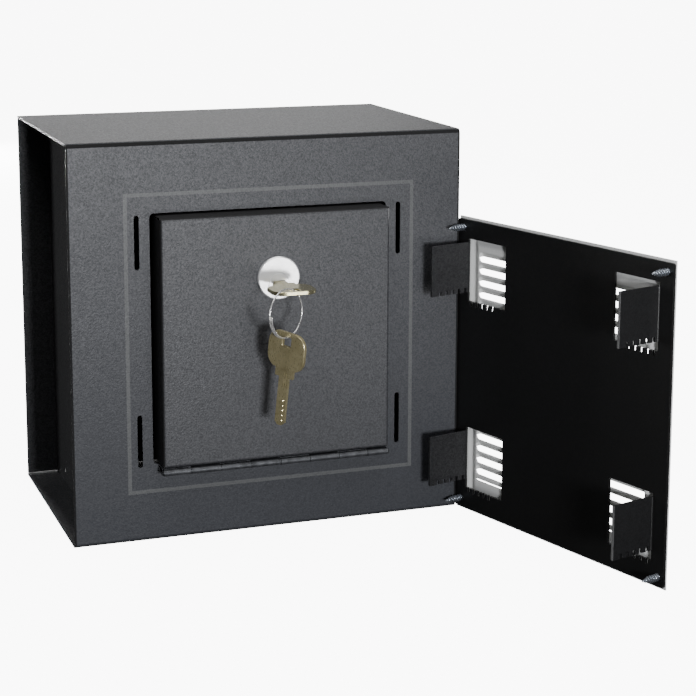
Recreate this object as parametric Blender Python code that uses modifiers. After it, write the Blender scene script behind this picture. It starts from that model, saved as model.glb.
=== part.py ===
"""Wall safe: a folded steel box with a drop-down door, a cam lock with its keys, and a vent cover taken off.

Metres, +Z up, +Y into the safe, +X to the right of someone who faces the door. The origin is at the centre
of the underside. Heights are above the underside, and a "front" distance is measured out of the front plate.
"""
import math

import bmesh
import bpy
import numpy as np
from mathutils import Matrix, Vector

# Shared
GAP = 0.0003            # between two pieces that lie against each other
MERGE = 0.000001        # points closer than this are one point
OVERRUN = 0.004         # how far a cutter passes the faces that it cuts

# Safe body: one sheet over the top, front and bottom, a back plate and two side walls set in from the edges
CASE_WIDTH = 0.257
CASE_HEIGHT = 0.254
CASE_DEPTH = 0.165
CASE_SHEET = 0.0015
CASE_BEND = 0.003       # outer radius of the two folds
SIDE_RECESS = 0.0205
OPENING_WIDTH = 0.1554
OPENING_SILL = 0.050    # from the underside up to the opening
OPENING_HEAD = 0.0446   # from the opening up to the top
OPENING_CORNER = 0.003

# Slots beside the door, which take the cover's hooks
SLOT_WIDTH = 0.0032
SLOT_LENGTH = 0.034
SLOT_OUTSET = 0.0082    # from the opening's edge out to a slot's middle
SLOT_ABOVE_SILL = 0.0153  # from the opening's lower edge up to a lower slot's middle
SLOT_BELOW_TOP = 0.0179   # from its upper edge down to an upper slot's middle

# Strike behind the front plate, above the opening
STRIKE_WIDTH = 0.030
STRIKE_SHEET = 0.0015
STRIKE_LIP = 0.010      # height of the lip that the cam turns behind
STRIKE_FOOT = 0.014     # height of the foot that is welded to the plate
STRIKE_EDGE = 0.0026    # from the opening's top edge up to the lip

# Door pan
DOOR_SHEET = 0.0015
DOOR_BEND = 0.002
DOOR_DEPTH = 0.022
DOOR_PROUD = 0.015      # how far its face stands in front of the plate
DOOR_SIDE_GAP = 0.0031
DOOR_TOP_GAP = 0.0016
DOOR_SILL_GAP = 0.0009
DOOR_SLIT = 0.0008      # the open corner between two flanges

# Piano hinge along the door's lower edge
BARREL_RADIUS = 0.0020
PIN_RADIUS = 0.0009
PIN_CLEARANCE = 0.00012
PIN_HEAD_RADIUS = 0.0014
PIN_HEAD = 0.0004
LEAF_SHEET = 0.0010
HINGE_SETBACK = 0.0017  # from the door's face back to the hinge's axis
HINGE_DROP = 0.0010     # how far the door's leaf steps down to its knuckles
HINGE_STEP = 0.0020     # how much of the leaf the step takes
DOOR_LEAF_DEPTH = 0.0108
BODY_LEAF_RISE = 0.0038
KNUCKLE_FIRST = 0.0177
KNUCKLE_PITCH = 0.01955
KNUCKLE_LEAST_SHARE = 0.25  # of a pitch: a shorter last knuckle is joined to the one before

# Lock housing
FACE_RADIUS = 0.01365
FACE_THICKNESS = 0.0025
FACE_EDGE = 0.0006
FACE_BELOW_TOP = 0.0404 # from the door's top edge down to the face's centre
BODY_RADIUS = 0.011
BODY_FLAT = 0.010       # from the axis out to each flat
BODY_BEHIND = 0.008     # how far the body reaches behind the plate's front face
BODY_CLEARANCE = 0.0002
NUT_ACROSS = 0.027
NUT_THICKNESS = 0.004
WASHER_RADIUS = 0.0142
WASHER_THICKNESS = 0.0008
WASHER_TEETH = 16
WASHER_TOOTH = 0.0009

# Plug, pins and springs
PLUG_RADIUS = 0.00665
PLUG_CLEARANCE = 0.0001
PLUG_DROP = 0.0037      # how far the plug's axis lies under the face's centre
PLUG_PROUD = 0.0003
KEYWAY_RISE = 0.0010    # from the plug's axis up to the key's middle
KEYWAY_CLEARANCE = 0.00015
KEYWAY_END = 0.0006     # room past the key's tip
PIN_COUNT = 5
PIN_PITCH = 0.0032
TUMBLER_RADIUS = 0.0013
TUMBLER_BORE = 0.00145
TUMBLER_START = 0.0096  # first pin, in front of the plate's face
KEY_PIN_TOP = 0.0063    # above the plug's axis
DRIVER_LENGTH = 0.0030
DRIVER_GAP = 0.0002
CHAMBER_ROOF = 0.0012
SPRING_RADIUS = 0.0009
SPRING_WIRE = 0.00022
SPRING_TURNS = 4
SPRING_GAP = 0.00015

# Cam on the plug's square tail
CAM_REACH = 0.054
CAM_WIDTH = 0.016
CAM_THICKNESS = 0.0025
CAM_TIP_RADIUS = 0.004
TAIL_SIDE = 0.0070
TAIL_CLEARANCE = 0.00015
TAIL_SHORT = 0.0002     # how far the tail ends inside the cam
CAM_WASHER_RADIUS = 0.0055
CAM_WASHER_THICKNESS = 0.0008
CAM_SCREW_RADIUS = 0.0020
CAM_SCREW_HEAD_RADIUS = 0.0042
CAM_SCREW_HEAD = 0.0022
CAM_SCREW_DEPTH = 0.0030  # into the plug
CAM_SCREW_CLEARANCE = 0.0002
CAM_SCREW_SLOT = 0.0009

# Keys
BOW_WIDTH = 0.0280
BOW_LENGTH = 0.0236
BOW_CORNER = 0.0080
BOW_THICKNESS = 0.0024
BOW_EDGE = 0.0004
KEY_HOLE = 0.0065
KEY_HOLE_CORNER = 0.0010
KEY_HOLE_INSET = 0.0060   # from the bow's end to the hole's centre
BLADE_WIDTH = 0.0070
BLADE_THICKNESS = 0.0020
BLADE_LENGTH = 0.0357
BLADE_TIP = 0.0020
SHOULDER_WIDTH = 0.0135
SHOULDER_LENGTH = 0.0048
DIMPLE_RADIUS = 0.0010
DIMPLE_DEPTH = 0.0006
KEY_IN_PLUG = 0.0050      # how far the tip reaches behind the plate's front face

# Split ring and the spare key that hangs on it
RING_RADIUS = 0.015
RING_WIRE = 0.0009
RING_ANGLE = math.radians(33.0)   # between the ring's plane and the door
RING_OUT = 0.0087                 # its centre, out from the key's hole in its own plane
RING_DOWN = 0.0120                # its centre, below the key's middle

# Vent cover, which stands on its lower edge beside the safe
COVER_ANGLE = math.radians(74.3)  # between the hook plate and the door
COVER_STANDOFF = 0.0003           # from the safe's edge to the cover's near edge
COVER_SETBACK = 0.0015            # from the front plate's plane back to the cover's near edge
COVER_CORNER = 0.0015
GRILLE_BORDER = 0.0015            # from the hook plate's upper and lower edges out to the grille's
GRILLE_SHEET = 0.0010
HOOK_PLATE_MARGIN = 0.01085  # from a tab's outer face to the plate's edge
HOOK_PLATE_ABOVE = 0.0143    # from an upper tab to the plate's upper edge
HOOK_SHEET = 0.0015
WINDOW_WIDTH = 0.037
WINDOW_HEIGHT = 0.0414
WINDOW_DROP = 0.0062     # from a tab's lower edge down to its window's lower edge
TAB_LENGTH = 0.031
TAB_HEIGHT = 0.033
TAB_LOWER = 0.022        # height of a lower tab's lower edge
TAB_BEND = 0.001         # inner radius of the fold
TAB_ROOT = 0.002         # how far the fold reaches into the plate
NOTCH_COUNT = 5
NOTCH_PITCH = 0.0052
NOTCH_WIDTH = 0.0020
NOTCH_DEPTH = 0.0030
NOTCH_FIRST = 0.0034
LOUVRE_PITCH = 0.0079
LOUVRE_MARGIN = 0.0183   # from the grille's side to a gap's end
LOUVRE_GAP = 0.0048
LOUVRE_HOOD = 0.0026     # how far each hood stands out of the grille
LOUVRE_LIP = 0.0016      # from a gap's upper edge down to its hood's lip
LOUVRE_SHEET = 0.0008
LOUVRE_DROP = 0.023      # from the grille's top edge down to the highest gap
LOUVRE_SILL = 0.0225     # least height of the lowest gap
SLIT_HEIGHT = 0.0012     # of the narrow slit one pitch below the lowest gap

# Cover screws
SCREW_INSET = 0.0054     # from the hook plate's edges
SCREW_RADIUS = 0.0024
SCREW_SHOWS = 0.0125     # from the hook plate to the tip
SCREW_POINT = 0.0065
SCREW_HEAD_RADIUS = 0.0040
SCREW_HEAD = 0.0022
SCREW_CLEARANCE = 0.0003

# Facets and shares
ARC_STEPS = 5            # segments in a quarter turn of a small fold or corner
ROUND_STEPS = 48         # segments in a full turn of a large round piece
SMALL_STEPS = 16         # segments in a full turn of a small one
SPRING_STEPS = 8
HEAD_DOME_SHARES = ((0.55, 1.0), (0.90, 0.62), (1.0, 0.25), (1.0, 0.0))   # (radius, height) of a domed head

# Places that follow from the sizes
FRONT = -CASE_DEPTH / 2
BACK = CASE_DEPTH / 2
OPENING_TOP = CASE_HEIGHT - OPENING_HEAD
OPENING_HEIGHT = OPENING_TOP - OPENING_SILL
SLOT_SPACING = OPENING_WIDTH + 2 * SLOT_OUTSET
SLOT_LOWER = OPENING_SILL + SLOT_ABOVE_SILL
SLOT_RISE = OPENING_TOP - SLOT_BELOW_TOP - SLOT_LOWER
DOOR_WIDTH = OPENING_WIDTH - 2 * DOOR_SIDE_GAP
DOOR_SILL = OPENING_SILL + DOOR_SILL_GAP
DOOR_HEIGHT = OPENING_HEIGHT - DOOR_SILL_GAP - DOOR_TOP_GAP
DOOR_FACE = FRONT - DOOR_PROUD
FACE_HEIGHT = DOOR_SILL + DOOR_HEIGHT - FACE_BELOW_TOP
KNUCKLE_COUNT = 1 + math.floor((DOOR_WIDTH - KNUCKLE_FIRST) / KNUCKLE_PITCH + 1 - KNUCKLE_LEAST_SHARE)
HINGE_Y = DOOR_FACE + HINGE_SETBACK
HINGE_Z = DOOR_SILL - GAP - HINGE_DROP - BARREL_RADIUS
PLUG_HEIGHT = FACE_HEIGHT - PLUG_DROP
KEY_HEIGHT = PLUG_HEIGHT + KEYWAY_RISE
KEY_LENGTH = BOW_LENGTH + BLADE_LENGTH
HOLE_TO_TIP = KEY_LENGTH - KEY_HOLE_INSET
KEY_HOLE_Y = FRONT + KEY_IN_PLUG - HOLE_TO_TIP
CAM_FRONT = BODY_BEHIND + GAP                  # both behind the plate's front face
CAM_BACK = CAM_FRONT + CAM_THICKNESS
RING_DIRECTION = Vector((-math.cos(RING_ANGLE), -math.sin(RING_ANGLE), 0))
KEY_HOLE_CENTRE = Vector((0, KEY_HOLE_Y, KEY_HEIGHT))
RING_CENTRE = KEY_HOLE_CENTRE + RING_OUT * RING_DIRECTION - RING_DOWN * Vector((0, 0, 1))
SPARE_PIVOT = RING_CENTRE - RING_RADIUS * Vector((0, 0, 1))
TAB_OUTSET = SLOT_SPACING / 2 + HOOK_SHEET / 2  # outer face of a tab, from the cover's middle
HOOK_PLATE_WIDTH = 2 * (TAB_OUTSET + HOOK_PLATE_MARGIN)
HOOK_PLATE_TOP = TAB_LOWER + SLOT_RISE + TAB_HEIGHT + HOOK_PLATE_ABOVE
HOOK_PLATE_HEIGHT = HOOK_PLATE_TOP - GRILLE_BORDER
GRILLE_HEIGHT = HOOK_PLATE_HEIGHT + 2 * GRILLE_BORDER
LOUVRE_LENGTH = HOOK_PLATE_WIDTH - 2 * LOUVRE_MARGIN
LOUVRE_COUNT = 1 + math.floor((GRILLE_HEIGHT - LOUVRE_DROP - LOUVRE_GAP - LOUVRE_SILL) / LOUVRE_PITCH)


def clear_scene():
    """Removes what the file opened with."""
    for item in list(bpy.data.objects):
        bpy.data.objects.remove(item, do_unlink=True)


def new_collection(name):
    collection = bpy.data.collections.new(name)
    bpy.context.scene.collection.children.link(collection)
    return collection


def new_material(name, colour, roughness, metallic):
    """A plain Principled material."""
    material = bpy.data.materials.new(name)
    material.use_nodes = True
    shader = material.node_tree.nodes["Principled BSDF"]
    shader.inputs["Base Color"].default_value = (*colour, 1)
    shader.inputs["Roughness"].default_value = roughness
    shader.inputs["Metallic"].default_value = metallic
    material.diffuse_color = (*colour, 1)
    return material


def frame(origin, along_x, along_y):
    """The matrix that takes local X and Y to two world directions and local Z to their cross product."""
    x = Vector(along_x).normalized()
    y = Vector(along_y).normalized()
    turn = Matrix((x, y, x.cross(y))).transposed().to_4x4()
    return Matrix.Translation(Vector(origin)) @ turn


def facing_front(x, height, front=0):
    """Local X to the right, local Y up and local Z out of the door's face, from the front plate's surface."""
    return frame((x, FRONT - front, height), (1, 0, 0), (0, 0, 1))


def across(x=0):
    """Local X back, local Y up and local Z to the right: for outlines that run across the safe."""
    return frame((x, 0, 0), (0, 1, 0), (0, 0, 1))


def place(name, mesh, matrix, material=None, parent=None):
    """Links a mesh as one of the safe's pieces, or as a hidden helper where it has no material."""
    item = bpy.data.objects.new(name, mesh)
    if material is None:
        HELPERS.objects.link(item)
        item.hide_render = True
        item.display_type = "WIRE"
    else:
        PARTS.objects.link(item)
        mesh.materials.clear()
        mesh.materials.append(material)
        mesh.set_sharp_from_angle(angle=SHARP_ANGLE)
    item.parent = parent
    if parent is not None:
        item.matrix_parent_inverse = Matrix.Translation(-AXES[parent.name])
    item.matrix_basis = matrix
    return item


def empty(name, origin, parent=None):
    """An empty on a joint's axis, which carries the pieces that move about it."""
    item = bpy.data.objects.new(name, None)
    PARTS.objects.link(item)
    AXES[name] = Vector(origin)
    item.parent = parent
    item.location = AXES[name]
    if parent is not None:
        item.location -= AXES[parent.name]
    return item


def finish(bm, name):
    """Turns an edited mesh into mesh data with its faces pointing out."""
    bmesh.ops.recalc_face_normals(bm, faces=bm.faces)
    mesh = bpy.data.meshes.new(name)
    bm.to_mesh(mesh)
    bm.free()
    return mesh


def add_block(bm, low, high, turn=None):
    """Adds a cube stretched between two corners, turned about its own middle where asked."""
    low, high = Vector(low), Vector(high)
    size = high - low
    stretch = Matrix.Diagonal((*size, 1))
    middle = Matrix.Translation((low + high) / 2)
    bmesh.ops.create_cube(bm, size=1, matrix=middle @ (turn or Matrix()) @ stretch)


def block(name, low, high, matrix, material=None, parent=None):
    bm = bmesh.new()
    add_block(bm, low, high)
    return place(name, finish(bm, name), matrix, material, parent)


def add_rod(bm, radius, low, high, x=0, y=0, steps=SMALL_STEPS):
    """Adds a cylinder along local Z."""
    bmesh.ops.create_cone(bm, cap_ends=True, segments=steps, radius1=radius, radius2=radius,
                          depth=high - low, matrix=Matrix.Translation((x, y, (low + high) / 2)))


def rod(name, radius, low, high, matrix, material=None, parent=None, steps=ROUND_STEPS):
    bm = bmesh.new()
    add_rod(bm, radius, low, high, steps=steps)
    return place(name, finish(bm, name), matrix, material, parent)


def arc(x, y, radius, start, end, steps=ARC_STEPS):
    """Points along an arc, in degrees."""
    angles = np.radians(np.linspace(start, end, steps + 1))
    return [(x + radius * math.cos(a), y + radius * math.sin(a)) for a in angles]


def rounded(width, height, radius, x=0, y=0, steps=ARC_STEPS):
    """A rectangle with round corners about (x, y). Half a width as the radius gives round ends."""
    wide, tall = width / 2 - radius, height / 2 - radius
    points = []
    for sign_x, sign_y, start in ((1, 1, 0), (-1, 1, 90), (-1, -1, 180), (1, -1, 270)):
        for point in arc(x + sign_x * wide, y + sign_y * tall, radius, start, start + 90, steps):
            if not points or math.dist(point, points[-1]) > MERGE:
                points.append(point)
    if math.dist(points[0], points[-1]) <= MERGE:
        points.pop()
    return points


def double_d(radius, flat):
    """A circle with a flat on its left and right."""
    half = math.degrees(math.acos(flat / radius))
    return arc(0, 0, radius, half, 180 - half, ROUND_STEPS // 4) + \
        arc(0, 0, radius, 180 + half, 360 - half, ROUND_STEPS // 4)


def outline(name, loops, low, high, matrix, material=None, parent=None):
    """A flat outline in local XY, with holes where loops lie inside it, as thick as low to high in local Z."""
    curve = bpy.data.curves.new(name, "CURVE")
    curve.dimensions = "2D"
    curve.fill_mode = "BOTH"
    curve.extrude = (high - low) / 2
    for loop in loops:
        spline = curve.splines.new("POLY")
        spline.points.add(len(loop) - 1)
        for point, (x, y) in zip(spline.points, loop):
            point.co = (x, y, 0, 1)
        spline.use_cyclic_u = True
    return solid_from_curve(curve, matrix @ Matrix.Translation((0, 0, (low + high) / 2)), material, parent)


def solid_from_curve(curve, matrix, material, parent):
    """Makes the curve a welded mesh that takes the curve object's place, and removes the curve."""
    name = curve.name
    holder = bpy.data.objects.new(name, curve)
    bpy.context.scene.collection.objects.link(holder)
    holder.matrix_world = matrix
    evaluated = holder.evaluated_get(bpy.context.evaluated_depsgraph_get())
    mesh = bpy.data.meshes.new_from_object(evaluated)
    bpy.data.objects.remove(holder)
    bpy.data.curves.remove(curve)
    bm = bmesh.new()
    bm.from_mesh(mesh)
    bpy.data.meshes.remove(mesh)
    bmesh.ops.remove_doubles(bm, verts=bm.verts, dist=MERGE)
    return place(name, finish(bm, name), matrix, material, parent)


def turned(name, profile, matrix, material=None, parent=None, steps=ROUND_STEPS):
    """Turns a profile of (radius, local Z) points, given from the top down, about local Z."""
    mesh = bpy.data.meshes.new(name)
    mesh.from_pydata([(radius, 0, z) for radius, z in profile],
                     [(i, i + 1) for i in range(len(profile) - 1)], [])
    item = place(name, mesh, matrix, material, parent)
    screw = item.modifiers.new("turn", "SCREW")
    screw.steps = steps
    screw.render_steps = steps
    screw.use_merge_vertices = True
    screw.merge_threshold = MERGE
    return item


def pan(name, width, height, depth, sheet, bend, matrix, material, parent=None):
    """A shallow tray whose face lies at local Z 0 and whose folded edges run back from it."""
    bm = bmesh.new()
    add_block(bm, (-width / 2, -height / 2, -depth), (width / 2, height / 2, 0))
    bmesh.ops.delete(bm, geom=[f for f in bm.faces if f.normal.z < -0.5], context="FACES_ONLY")
    face = max(bm.faces, key=lambda f: f.normal.z)
    bmesh.ops.bevel(bm, geom=list(face.edges), offset=bend, segments=ARC_STEPS, profile=0.5, affect="EDGES")
    item = place(name, finish_open(bm, name), matrix, material, parent)
    solidify = item.modifiers.new("sheet", "SOLIDIFY")
    solidify.thickness = sheet
    solidify.offset = -1
    solidify.use_even_offset = True
    return item


def finish_open(bm, name):
    """Like finish, for an open tray whose normals already point out."""
    mesh = bpy.data.meshes.new(name)
    bm.to_mesh(mesh)
    bm.free()
    return mesh


def boolean(item, other, operation="DIFFERENCE", solver="EXACT"):
    """Cuts item with a helper, or joins the helper to it."""
    modifier = item.modifiers.new(other.name, "BOOLEAN")
    modifier.operation = operation
    modifier.solver = solver
    modifier.object = other


def applied_mesh(item):
    """The item's mesh with its modifiers applied, in its own coordinates."""
    bpy.context.view_layer.update()
    evaluated = item.evaluated_get(bpy.context.evaluated_depsgraph_get())
    return bpy.data.meshes.new_from_object(evaluated)


def centroid(mesh):
    """Centre of volume of a closed mesh, as the weighted mean of its tetrahedra from the origin."""
    mesh.calc_loop_triangles()
    corners = np.array([[mesh.vertices[v].co[:] for v in t.vertices] for t in mesh.loop_triangles])
    volumes = np.einsum("ij,ij->i", corners[:, 0], np.cross(corners[:, 1], corners[:, 2]))
    return (corners.sum(axis=1) / 4 * volumes[:, None]).sum(axis=0) / volumes.sum()


def casing():
    """The folded sheet with its door opening and hook slots, the back plate and the two side walls."""
    inner = CASE_BEND - CASE_SHEET
    top, low = CASE_HEIGHT - CASE_BEND, CASE_BEND
    section = [(BACK, CASE_HEIGHT)] + arc(FRONT + CASE_BEND, top, CASE_BEND, 90, 180) \
        + arc(FRONT + CASE_BEND, low, CASE_BEND, 180, 270) + [(BACK, 0), (BACK, CASE_SHEET)] \
        + arc(FRONT + CASE_BEND, low, inner, 270, 180) + arc(FRONT + CASE_BEND, top, inner, 180, 90) \
        + [(BACK, CASE_HEIGHT - CASE_SHEET)]
    wrap = outline("casing_wrap", [section], -CASE_WIDTH / 2, CASE_WIDTH / 2, across(), PAINT)
    opening = rounded(OPENING_WIDTH, OPENING_HEIGHT, OPENING_CORNER, 0, OPENING_TOP - OPENING_HEIGHT / 2)
    slots = [rounded(SLOT_WIDTH, SLOT_LENGTH, SLOT_WIDTH / 2, side * SLOT_SPACING / 2, SLOT_LOWER + rise)
             for side in (-1, 1) for rise in (0, SLOT_RISE)]
    boolean(wrap, outline("front_cuts", [opening, *slots], -CASE_BEND, OVERRUN, facing_front(0, 0)))
    inside = CASE_SHEET + GAP
    block("back_plate", (-CASE_WIDTH / 2, BACK - CASE_SHEET, inside),
          (CASE_WIDTH / 2, BACK, CASE_HEIGHT - inside), Matrix(), PAINT)
    wall = rounded(CASE_DEPTH - 2 * inside, CASE_HEIGHT - 2 * inside, inner - GAP, 0, CASE_HEIGHT / 2)
    outer = CASE_WIDTH / 2 - SIDE_RECESS
    outline("left_wall", [wall], -outer, CASE_SHEET - outer, across(), PAINT)
    outline("right_wall", [wall], outer - CASE_SHEET, outer, across(), PAINT)


def strike():
    """A Z-shaped bracket: a foot on the plate's back, and a lip that the cam turns behind."""
    near = FRONT + CASE_SHEET + GAP
    far = FRONT + CAM_FRONT - GAP
    lip = OPENING_TOP + STRIKE_EDGE
    step = lip + STRIKE_LIP
    foot = step + STRIKE_FOOT
    section = [(far, lip), (far, step + STRIKE_SHEET), (near + STRIKE_SHEET, step + STRIKE_SHEET),
               (near + STRIKE_SHEET, foot), (near, foot), (near, step),
               (far - STRIKE_SHEET, step), (far - STRIKE_SHEET, lip)]
    outline("strike_bracket", [section], -STRIKE_WIDTH / 2, STRIKE_WIDTH / 2, across(), BARE_STEEL)


def knuckle_spans(first):
    """The stretches of every second knuckle, from the given one on, with half a gap left at each end."""
    edges = [-DOOR_WIDTH / 2] + [-DOOR_WIDTH / 2 + KNUCKLE_FIRST + i * KNUCKLE_PITCH
                                 for i in range(KNUCKLE_COUNT - 1)] + [DOOR_WIDTH / 2]
    return [(edges[i] + GAP / 2, edges[i + 1] - GAP / 2) for i in range(first, KNUCKLE_COUNT, 2)]


def hinge_leaf(name, strip, first, side, material, parent=None):
    """A leaf: a strip along the door and the knuckles that it curls into. side is +1 with the leaf on top."""
    leaf = outline(name, [strip], -DOOR_WIDTH / 2, DOOR_WIDTH / 2, across(), material, parent)
    edge = HINGE_Z + side * BARREL_RADIUS
    lip = edge - side * LEAF_SHEET
    reach = HINGE_Y + BARREL_RADIUS + GAP + LEAF_SHEET
    bore = arc(HINGE_Y, HINGE_Z, PIN_RADIUS + PIN_CLEARANCE, 0, 360, SMALL_STEPS)[:-1]
    turn = arc(HINGE_Y, HINGE_Z, BARREL_RADIUS, side * 90, side * 360, 3 * ARC_STEPS)
    curl = turn + [(HINGE_Y + BARREL_RADIUS, lip), (reach, lip), (reach, edge)]
    for number, (low, high) in enumerate(knuckle_spans(first)):
        knuckle = outline(f"{name}_knuckle_{number}", [curl, bore], low, high, across())
        boolean(leaf, knuckle, "UNION", "MANIFOLD")


def hinge():
    """The piano hinge: the body's leaf, the door's leaf and the pin."""
    start = HINGE_Y + BARREL_RADIUS + GAP
    top = HINGE_Z + BARREL_RADIUS
    end = HINGE_Y + DOOR_LEAF_DEPTH
    step, seat = start + 2 * LEAF_SHEET, top + HINGE_DROP
    door_strip = [(start, top - LEAF_SHEET), (step, top - LEAF_SHEET), (step + HINGE_STEP, seat - LEAF_SHEET),
                  (end, seat - LEAF_SHEET), (end, seat), (step + HINGE_STEP, seat), (step, top), (start, top)]
    hinge_leaf("hinge_door_leaf", door_strip, 1, 1, HINGE_STEEL, DOOR_AXIS)
    low = HINGE_Z - BARREL_RADIUS
    plate = FRONT - GAP
    body_strip = [(start, low), (plate, low), (plate, low + BODY_LEAF_RISE),
                  (plate - LEAF_SHEET, low + BODY_LEAF_RISE), (plate - LEAF_SHEET, low + LEAF_SHEET),
                  (start, low + LEAF_SHEET)]
    hinge_leaf("hinge_body_leaf", body_strip, 0, -1, HINGE_STEEL)
    half = DOOR_WIDTH / 2 + GAP
    profile = [(0, half + PIN_HEAD), (PIN_HEAD_RADIUS, half + PIN_HEAD), (PIN_HEAD_RADIUS, half),
               (PIN_RADIUS, half), (PIN_RADIUS, -half), (PIN_HEAD_RADIUS, -half),
               (PIN_HEAD_RADIUS, -half - PIN_HEAD), (0, -half - PIN_HEAD)]
    turned("hinge_pin", profile, frame((0, HINGE_Y, HINGE_Z), (0, 1, 0), (0, 0, 1)), BARE_STEEL,
           steps=SMALL_STEPS)


def door():
    """The door pan with its open corners and the hole for the lock."""
    middle = DOOR_SILL + DOOR_HEIGHT / 2
    panel = pan("door_panel", DOOR_WIDTH, DOOR_HEIGHT, DOOR_DEPTH, DOOR_SHEET, DOOR_BEND,
                facing_front(0, middle, DOOR_PROUD), PAINT, DOOR_AXIS)
    bm = bmesh.new()
    reach = 2 * DOOR_BEND
    for x in (-1, 1):
        for y in (-1, 1):
            corner = Vector((x * DOOR_WIDTH / 2, y * DOOR_HEIGHT / 2, 0))
            turn = Matrix.Rotation(x * y * math.pi / 4, 4, "Z")
            add_block(bm, corner + Vector((-reach, -DOOR_SLIT / 2, -DOOR_DEPTH - OVERRUN)),
                      corner + Vector((reach, DOOR_SLIT / 2, -DOOR_BEND - DOOR_SLIT)), turn)
    slits = place("door_corner_slits", finish(bm, "door_corner_slits"), facing_front(0, middle, DOOR_PROUD))
    boolean(panel, slits)
    hole = outline("door_lock_hole", [double_d(BODY_RADIUS + BODY_CLEARANCE, BODY_FLAT + BODY_CLEARANCE)],
                   -DOOR_SHEET - OVERRUN, OVERRUN, facing_front(0, FACE_HEIGHT, DOOR_PROUD))
    boolean(panel, hole)


def pin_places():
    """How far each tumbler stands in front of the plate's surface."""
    return [TUMBLER_START - i * PIN_PITCH for i in range(PIN_COUNT)]


def pin_frame(front=0):
    """Upright on the plug's axis, a given distance in front of the plate's surface."""
    return frame((0, FRONT - front, PLUG_HEIGHT), (1, 0, 0), (0, 1, 0))


def pin_bores(name, low, high):
    """A cutter with one upright bore at each tumbler, between two heights above the plug's axis."""
    bm = bmesh.new()
    for front in pin_places():
        add_rod(bm, TUMBLER_BORE, low, high, 0, -front)
    return place(name, finish(bm, name), pin_frame())


def lock_housing():
    """The round face and the flatted body, bored for the plug and the drivers, with its washer and nut."""
    seat = DOOR_PROUD + GAP
    top = seat + FACE_THICKNESS
    profile = [(0, top), (FACE_RADIUS - FACE_EDGE, top), (FACE_RADIUS, top - FACE_EDGE), (FACE_RADIUS, seat),
               (0, seat)]
    face = facing_front(0, FACE_HEIGHT)
    housing = turned("lock_housing", profile, face, CHROME, DOOR_AXIS)
    boolean(housing, outline("lock_body", [double_d(BODY_RADIUS, BODY_FLAT)], -BODY_BEHIND,
                             seat + FACE_THICKNESS / 2, face), "UNION")
    bore = rod("plug_bore", PLUG_RADIUS + PLUG_CLEARANCE, -BODY_BEHIND - OVERRUN, top + OVERRUN,
               facing_front(0, PLUG_HEIGHT))
    boolean(housing, bore)
    roof = chamber_roof()
    boolean(housing, pin_bores("driver_chambers", PLUG_RADIUS / 2, roof))
    behind_skin = DOOR_PROUD - DOOR_SHEET - GAP
    star = []
    for tooth in range(WASHER_TEETH):
        start = 360 * tooth / WASHER_TEETH
        half = 180 / WASHER_TEETH
        star += arc(0, 0, WASHER_RADIUS, start, start + half, 1)
        star += arc(0, 0, WASHER_RADIUS - WASHER_TOOTH, start + half, start + 2 * half, 1)
    inner = arc(0, 0, BODY_RADIUS + BODY_CLEARANCE, 0, 360, ROUND_STEPS)[:-1]
    outline("lock_washer", [star, inner], behind_skin - WASHER_THICKNESS, behind_skin, face, BARE_STEEL,
            DOOR_AXIS)
    nut_top = behind_skin - WASHER_THICKNESS - GAP
    hexagon = arc(0, 0, NUT_ACROSS / 2 / math.cos(math.pi / 6), 0, 360, 6)[:-1]
    outline("lock_nut", [hexagon, inner], nut_top - NUT_THICKNESS, nut_top, face, BARE_STEEL, DOOR_AXIS)


def chamber_roof():
    """Top of the driver chambers above the plug's axis."""
    return PLUG_DROP + BODY_RADIUS - CHAMBER_ROOF


def tumblers():
    """Key pins in the plug, driver pins over them and a spring over each driver."""
    key_pin = KEYWAY_RISE + BLADE_THICKNESS / 2 + KEYWAY_CLEARANCE
    driver = PLUG_RADIUS + PLUG_CLEARANCE + DRIVER_GAP
    spring = driver + DRIVER_LENGTH + SPRING_WIRE + SPRING_GAP
    roof = chamber_roof() - SPRING_WIRE - SPRING_GAP
    for number, front in enumerate(pin_places(), 1):
        at = pin_frame(front)
        rod(f"key_pin_{number}", TUMBLER_RADIUS, key_pin, KEY_PIN_TOP, at, BRASS, LOCK_AXIS, SMALL_STEPS)
        rod(f"driver_pin_{number}", TUMBLER_RADIUS, driver, driver + DRIVER_LENGTH, at, BRASS, DOOR_AXIS,
            SMALL_STEPS)
        pin_spring(f"pin_spring_{number}", spring, roof, at)


def pin_spring(name, low, high, matrix):
    """An open coil of round wire between two heights."""
    curve = bpy.data.curves.new(name, "CURVE")
    curve.dimensions = "3D"
    curve.bevel_depth = SPRING_WIRE
    curve.bevel_resolution = 0
    curve.use_fill_caps = True
    spline = curve.splines.new("POLY")
    count = SPRING_TURNS * SPRING_STEPS
    spline.points.add(count)
    for i, point in enumerate(spline.points):
        angle = 2 * math.pi * i / SPRING_STEPS
        point.co = (SPRING_RADIUS * math.cos(angle), SPRING_RADIUS * math.sin(angle),
                    low + (high - low) * i / count, 1)
    solid_from_curve(curve, matrix, BARE_STEEL, DOOR_AXIS)


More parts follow.
